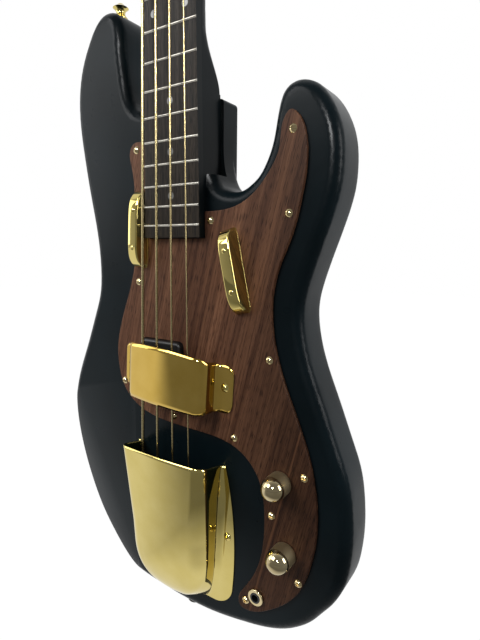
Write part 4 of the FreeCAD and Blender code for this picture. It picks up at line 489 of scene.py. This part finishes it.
# Thumb rest and finger rest are gilt castings, a low bar with straight sloping sides.
# Their ends bend down to the guard, and each has two oval screws let into its flat top.
REST_HALF, REST_FOOT, REST_TOP, REST_HIGH = 35.0, 8.5, 5.2, 12.5
RESTS = {"thumb_rest": (-41.82, 361.6, -3.0), "finger_rest": (63.47, 326.57, 12.8)}
rest_corners = [(REST_FOOT, 0.0), (8.1, 0.6), (REST_TOP, REST_HIGH), (0.0, REST_HIGH)]
rest_edge = rounded_run(rest_corners, [0.4, 1.5], 9)
rest_edge = np.concatenate([rest_edge, (rest_edge * (-1, 1))[::-1][1:]])
rest_run = np.sin(np.linspace(-np.pi / 2, np.pi / 2, 81))
rest_fall = (1 - np.abs(rest_run) ** 5) ** (1 / 1.5)
rest_plan = (1 - np.abs(rest_run) ** 9) ** (1 / 9)
dress(gold_plate, "rest_screws")
for name, (x, z, lean) in RESTS.items():
    across = np.array([math.cos(math.radians(lean)), 0.0, math.sin(math.radians(lean))])
    along = np.array([-math.sin(math.radians(lean)), 0.0, math.cos(math.radians(lean))])
    wide = (rest_plan[:, None] * rest_edge[None, :, 0])[..., None] * across
    high = (rest_fall[:, None] * rest_edge[None, :, 1])[..., None] * np.array([0.0, -1.0, 0.0])
    grid = np.array([x, GUARD_TOP, z]) + wide + high + (REST_HALF * rest_run)[:, None, None] * along
    rest = skin(name + "_bar", [(grid * MM, False, True)], gold_plate)
    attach(rest, "instrument")
    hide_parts(name)

# The pickup cover is a strip of gilt brass bent to a low arch and crowned on top.
# It bridges the split pickup and stands on the guard, with an ear and a screw at each side.
dress(gold_plate, "cover_screws")
PICKUP_COVER_CENTRE, PICKUP_COVER_LEAN, COVER_WALL = (-1.5, 231.2), 3.5, 1.2
ARCH_EAR, ARCH_FOOT, ARCH_SHOULDER, ARCH_SHOULDER_HIGH, ARCH_RISE = 64.0, 47.5, 43.5, 18.9, 6.0
ARCH_HALF, ARCH_BOW, EAR_R = 24.5, 3.2, 8
arch_corners = [(ARCH_EAR, COVER_WALL / 2), (ARCH_FOOT, COVER_WALL / 2), (ARCH_SHOULDER, ARCH_SHOULDER_HIGH),
                (0.0, ARCH_SHOULDER_HIGH + ARCH_RISE)]
arch = rounded_run(arch_corners, [7.0, 12.0], 18)[:-1]
crown_run = np.linspace(1, 0, 24)[1:, None]
crown_rise = arch[-1, 0] * ARCH_RISE / ARCH_SHOULDER / 2
crown_line = np.hstack([crown_run * arch[-1, 0], arch[-1, 1] + crown_rise * (1 - crown_run ** 2)])
arch = np.concatenate([np.linspace(arch[0], arch[1], 14)[:-1], arch[1:], crown_line])
arch = np.concatenate([arch, (arch * (-1, 1))[::-1][1:]])
arch_way = np.gradient(arch, axis=0)
arch_side = np.stack([arch_way[:, 1], -arch_way[:, 0]], -1) / np.linalg.norm(arch_way, axis=1)[:, None]
reach = np.abs(arch[:, 0])
ear_round = EAR_R - np.sqrt(EAR_R ** 2 - np.clip(reach - (ARCH_EAR - EAR_R), 0, EAR_R) ** 2)
wall_share = np.clip((reach - 41) / 8, 0, 1)
neck_edge = ARCH_HALF + ARCH_BOW * np.clip(1 - (reach / 44) ** 2, 0, 1) - 5.0 * wall_share - ear_round
tail_edge = ARCH_HALF - 2.0 * wall_share - ear_round
strip = np.linspace(-1, 1, 15)
front_strip = np.stack([strip, 0 * strip + 0.5], -1)
back_strip = np.stack([strip[::-1], 0 * strip - 0.5], -1)
loop = np.concatenate([front_strip, [(1.004, 0.0)], back_strip, [(-1.004, 0.0)]])
wall = np.full(len(arch), COVER_WALL)
wall[[0, -1]] = 0.2
flat = arch[:, None] + (wall[:, None] * loop[None, :, 1])[..., None] * arch_side[:, None]
lie = (neck_edge - tail_edge)[:, None] / 2 + (neck_edge + tail_edge)[:, None] / 2 * loop[None, :, 0]
turn_cos, turn_sin = math.cos(math.radians(PICKUP_COVER_LEAN)), math.sin(math.radians(PICKUP_COVER_LEAN))
grid = np.stack([PICKUP_COVER_CENTRE[0] + flat[..., 0] * turn_cos + lie * turn_sin, GUARD_TOP - flat[..., 1],
                 PICKUP_COVER_CENTRE[1] - flat[..., 0] * turn_sin + lie * turn_cos], -1)
# A deeper yellow copy of the same gold plate: its warmer tone is painted reflection.
reflection_tinted_gold = gilt("gold_plate_tinted_by_painted_reflection", "#c0a04c", "#cdae5c", 0.04, 0.03)
pickup_cover = skin("pickup_cover_arch", [(grid * MM, False, True)], reflection_tinted_gold)
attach(pickup_cover, "instrument")
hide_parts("pickup_cover")

# The bridge cover is a deep gilt pressing, open and flared towards the neck and rounded off at the tail.
# Soft folds lead from its crowned top down the walls and out into a crescent ear at each side.
BODY_FACE, COVER_TAIL_Z, COVER_LONG, COVER_HIGH = -22.225, 17.7, 143.8, 30.5
COVER_HALF, COVER_FLARE, COVER_STRAIGHT_FROM, COVER_CROWN = 44, 4.8, 51.5, 1.6
EAR_FROM, EAR_CORNER, EAR_THICK = 3.8, 17, 1.2


def eased(share, power):
    """Rises from nothing to one and stays there: one less the rest's power, to one over that power."""
    return (1 - (1 - np.minimum(share, 1)) ** power) ** (1 / power)


ear_curve = np.polyfit([EAR_FROM, 71.9, 137.6], [59.0, 63.0, 54.5], 2)
ear_turn = EAR_CORNER * (1 - np.cos(np.linspace(0, np.pi / 2, 15)))
along = np.concatenate([3.79 * np.linspace(0, 1, 18) ** 2, 3.81 + ear_turn, np.linspace(22, COVER_LONG, 40)])
tail = eased(along / 50, 2.5)
flare = COVER_FLARE * np.clip((along - COVER_STRAIGHT_FROM) / (COVER_LONG - COVER_STRAIGHT_FROM), 0, 1)
foot_x = COVER_HALF * eased(along / 41, 3.4) + 0.4 + flare
top_x = COVER_HALF * eased(along / COVER_STRAIGHT_FROM, 1.7) + 0.2 + flare
top_h = (COVER_HIGH - 7.8 * (1 - along / COVER_LONG)) * tail + 1.25
ear_short = np.clip(EAR_CORNER - (along - EAR_FROM), 0, EAR_CORNER)
ear_x = np.polyval(ear_curve, along) - EAR_CORNER + np.sqrt(EAR_CORNER ** 2 - ear_short ** 2)
ear_x = np.maximum(np.where(along < EAR_FROM, 0, ear_x), foot_x + 0.4)
wall_run = np.hypot(top_h - EAR_THICK, foot_x - top_x)
fold_r = np.minimum(np.minimum(7, 0.3 * wall_run), 0.6 * (ear_x - foot_x))
lip_r = np.minimum(17 * tail - 1.3 * flare, 0.6 * np.minimum(wall_run, top_x))
sections = np.array([rounded_run([(e, 0.0), (e, EAR_THICK), (f, EAR_THICK), (t, h), (0.0, h)],
                                 [0.15, fr, lr], 12)
                     for e, f, t, h, fr, lr in zip(ear_x, foot_x, top_x, top_h, fold_r, lip_r)])
spread = np.linspace(1, 0, 9)[None, 1:]
crown_high = sections[:, -2:-1, 1] + COVER_CROWN * tail[:, None] * (1 - spread ** 2)
top_run = np.stack([sections[:, -2:-1, 0] * spread, crown_high], -1)
sections = np.concatenate([sections[:, :-1], top_run], 1)
sections = np.concatenate([sections, (sections * (-1, 1))[:, ::-1][:, 1:]], 1)
lean = 1 - 6.2 / COVER_LONG * (1 - sections[..., 1] / COVER_HIGH) * (along / COVER_LONG)[:, None]
outer = np.stack([sections[..., 0], BODY_FACE - sections[..., 1], COVER_TAIL_Z + along[:, None] * lean], -1)
square = np.cross(np.gradient(outer, axis=0), np.gradient(outer, axis=1))
square /= np.maximum(np.linalg.norm(square, axis=2, keepdims=True), 1e-9)
square *= np.sign(np.sum(square[..., 1] * sections[..., 1])) * -1
inner = outer - COVER_WALL * square
inner[:, :13] = outer[:, :1]
inner[:, -13:] = outer[:, -1:]
cover_grid = np.concatenate([outer, inner[::-1]]) * MM
bridge_cover = skin("bridge_cover_pressing", [(cover_grid, True, False)], gold_plate)
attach(bridge_cover, "instrument")
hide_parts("bridge_cover")

# Tuners: a gilt plate with two lugs, a bushing, a worm on the key and a wheel on the post.
# The plates sit on the back of the head, and the posts stand through it to the front.
dress(gold_plate, "tuner_plates", "tuner_bushings", "tuner_screws")
for letter in STRINGS:
    dress(gold_plate, "tuner_key_" + letter, "tuner_post_" + letter)

# Strap buttons are turned mushrooms, screwed to the upper horn and to the butt.
dress(gold_plate, "strap_buttons", "strap_button_screws")

# The studio is a plain pale floor under the end pin and a white surround that is dimmer behind the camera.
# The floor is white to the eye and keeps a faint shadow. In reflections a painted glow makes it white behind
# the bass and about its foot, and it is dim in front, so that polished gold has dark areas too.
WHITE_SHARE = 0.94
FLOOR_REACH = 4.0
floor_level = cad_box[0].z - 0.5 * MM


def mirrored_rays(tree, look):
    """One for rays that come by a mirror or through glass, and otherwise nothing."""
    return maths(tree, "MAXIMUM", (look, "Is Glossy Ray"), (look, "Is Transmission Ray"))


floor_white, tree, shader, place = new_surface("matt_white_floor", **{"Roughness": 0.9,
                                                                      "Base Color": linear("#5a5a58")})
look = add_node(tree, "ShaderNodeLightPath")
glow = add_node(tree, "ShaderNodeEmission", values={"Color": (1, 1, 1, 1), "Strength": 1.07})
mirrored = mirrored_rays(tree, look)
away = add_node(tree, "ShaderNodeVectorMath", props={"operation": "LENGTH"}, links={0: (place, "Object")})
# Painted reflection: a glow seen only by mirrored rays, white in a pool about the foot and on the side behind
# the bass.
glow_pool = ranged(tree, (away, "Value"), 0.9, 0.03, 0.10, 0.25, "SMOOTHSTEP")
sideways = add_node(tree, "ShaderNodeVectorMath", props={"operation": "DOT_PRODUCT"},
                    values={1: (-0.73, 0.68, 0.0)}, links={0: (place, "Object")})
background_side = ranged(tree, (sideways, "Value"), 0.08, WHITE_SHARE, -0.16, 0.06, "SMOOTHSTEP")
reflected_glow = maths(tree, "MAXIMUM", (glow_pool, "Result"), (background_side, "Result"))
half_seen = maths(tree, "MULTIPLY", (mirrored, "Value"), (reflected_glow, "Value"))
seen = maths(tree, "MULTIPLY_ADD", (look, "Is Camera Ray"), WHITE_SHARE, (half_seen, "Value"))
mixed = add_node(tree, "ShaderNodeMixShader",
                 links={0: (seen, "Value"), 1: (shader, "BSDF"), 2: (glow, "Emission")})
tree.links.new(mixed.outputs["Shader"], tree.nodes["Material Output"].inputs["Surface"])
floor_line = np.linspace(-FLOOR_REACH, FLOOR_REACH, 3)
floor_x, floor_y = np.meshgrid(floor_line, floor_line)
floor_grid = np.stack([floor_x, floor_y, 0 * floor_x + floor_level], -1)[:, ::-1]
floor = skin("pale_floor", [(floor_grid, False, False)], floor_white)
world = bpy.data.worlds.new("white_surround")
bpy.context.scene.world = world
world.use_nodes = True
tree = world.node_tree
tree.nodes.clear()
place = add_node(tree, "ShaderNodeTexCoord")
towards = add_node(tree, "ShaderNodeVectorMath", props={"operation": "DOT_PRODUCT"},
                   values={1: (-0.55, 0.80, -0.10)}, links={0: (place, "Generated")})
dim = ranged(tree, (towards, "Value"), 0.25, 0.9, -0.6, 0.5, "SMOOTHSTEP")
look = add_node(tree, "ShaderNodeLightPath")
mirrored = mirrored_rays(tree, look)
behind = maths(tree, "GREATER_THAN", (towards, "Value"), 0.0)
shown = maths(tree, "MULTIPLY_ADD", (mirrored, "Value"), (behind, "Value"), (look, "Is Camera Ray"))
strength = maths(tree, "MAXIMUM", (dim, "Result"), (shown, "Value"))
sky = add_node(tree, "ShaderNodeBackground", values={"Color": (1, 1, 1, 1)},
               links={"Strength": (strength, "Value")})
add_node(tree, "ShaderNodeOutputWorld", links={"Surface": (sky, "Background")})


# Four soft lamps: a key from the front left, a rim light from the right, and two that show only in reflections.
# Of those, one gives the small glints on the gold and one the sheen along the black body's left side.
def softbox(name, place, aim, width, height, power):
    """A soft area lamp at a place, turned to an aim."""
    lamp = bpy.data.lights.new(name, "AREA")
    lamp.shape = "RECTANGLE"
    lamp.size = width
    lamp.size_y = height
    lamp.energy = power
    thing = bpy.data.objects.new(name, lamp)
    bpy.context.scene.collection.objects.link(thing)
    thing.location = place
    thing.rotation_euler = (Vector(aim) - Vector(place)).to_track_quat("-Z", "Y").to_euler()
    return thing


softbox("key_softbox", (-0.9, -1.5, 1.5), (0.0, 0.0, 0.3), 1.0, 1.0, 22.0)
softbox("rim_softbox", (1.6, 0.1, 0.8), (0.0, 0.0, 0.12), 0.5, 1.0, 13.0)
glint = softbox("glint_softbox", (0.53, -1.35, 1.04), (0.0, 0.0, 0.4), 0.18, 0.3, 24.0)
glint.visible_diffuse = False
sheen = softbox("sheen_softbox", (-1.45, -0.80, 0.80), (-0.1, 0.0, 0.45), 0.7, 1.0, 5.5)
sheen.visible_diffuse = False

# The camera stands close, right of the neck and above the body's middle, as it did for the photo.
CAMERA_TURN = (0.13642, 0.5871, 0.05236)
CAMERA_PLACE = (276.739, -338.56, 341.643)
FOCAL_PIXELS = 465.154
PHOTO_HEIGHT = 640
turn_axis = Vector(CAMERA_TURN)
level = Matrix(((1, 0, 0), (0, 0, -1), (0, 1, 0)))
rows = Matrix.Rotation(turn_axis.length, 3, turn_axis.normalized()) @ level
camera_data = bpy.data.cameras.new("photo_camera")
camera_data.sensor_width = 36.0
camera_data.lens = FOCAL_PIXELS * camera_data.sensor_width / PHOTO_HEIGHT
camera_data.clip_start = 0.01
camera = bpy.data.objects.new("photo_camera", camera_data)
bpy.context.scene.collection.objects.link(camera)
axes = Matrix((rows[0], -rows[1], -rows[2])).transposed()
camera.matrix_world = Matrix.Translation(Vector(CAMERA_PLACE) * MM) @ axes.to_4x4()
bpy.context.scene.camera = camera
bpy.context.scene.view_settings.view_transform = "Standard"

bpy.context.view_layer.update()
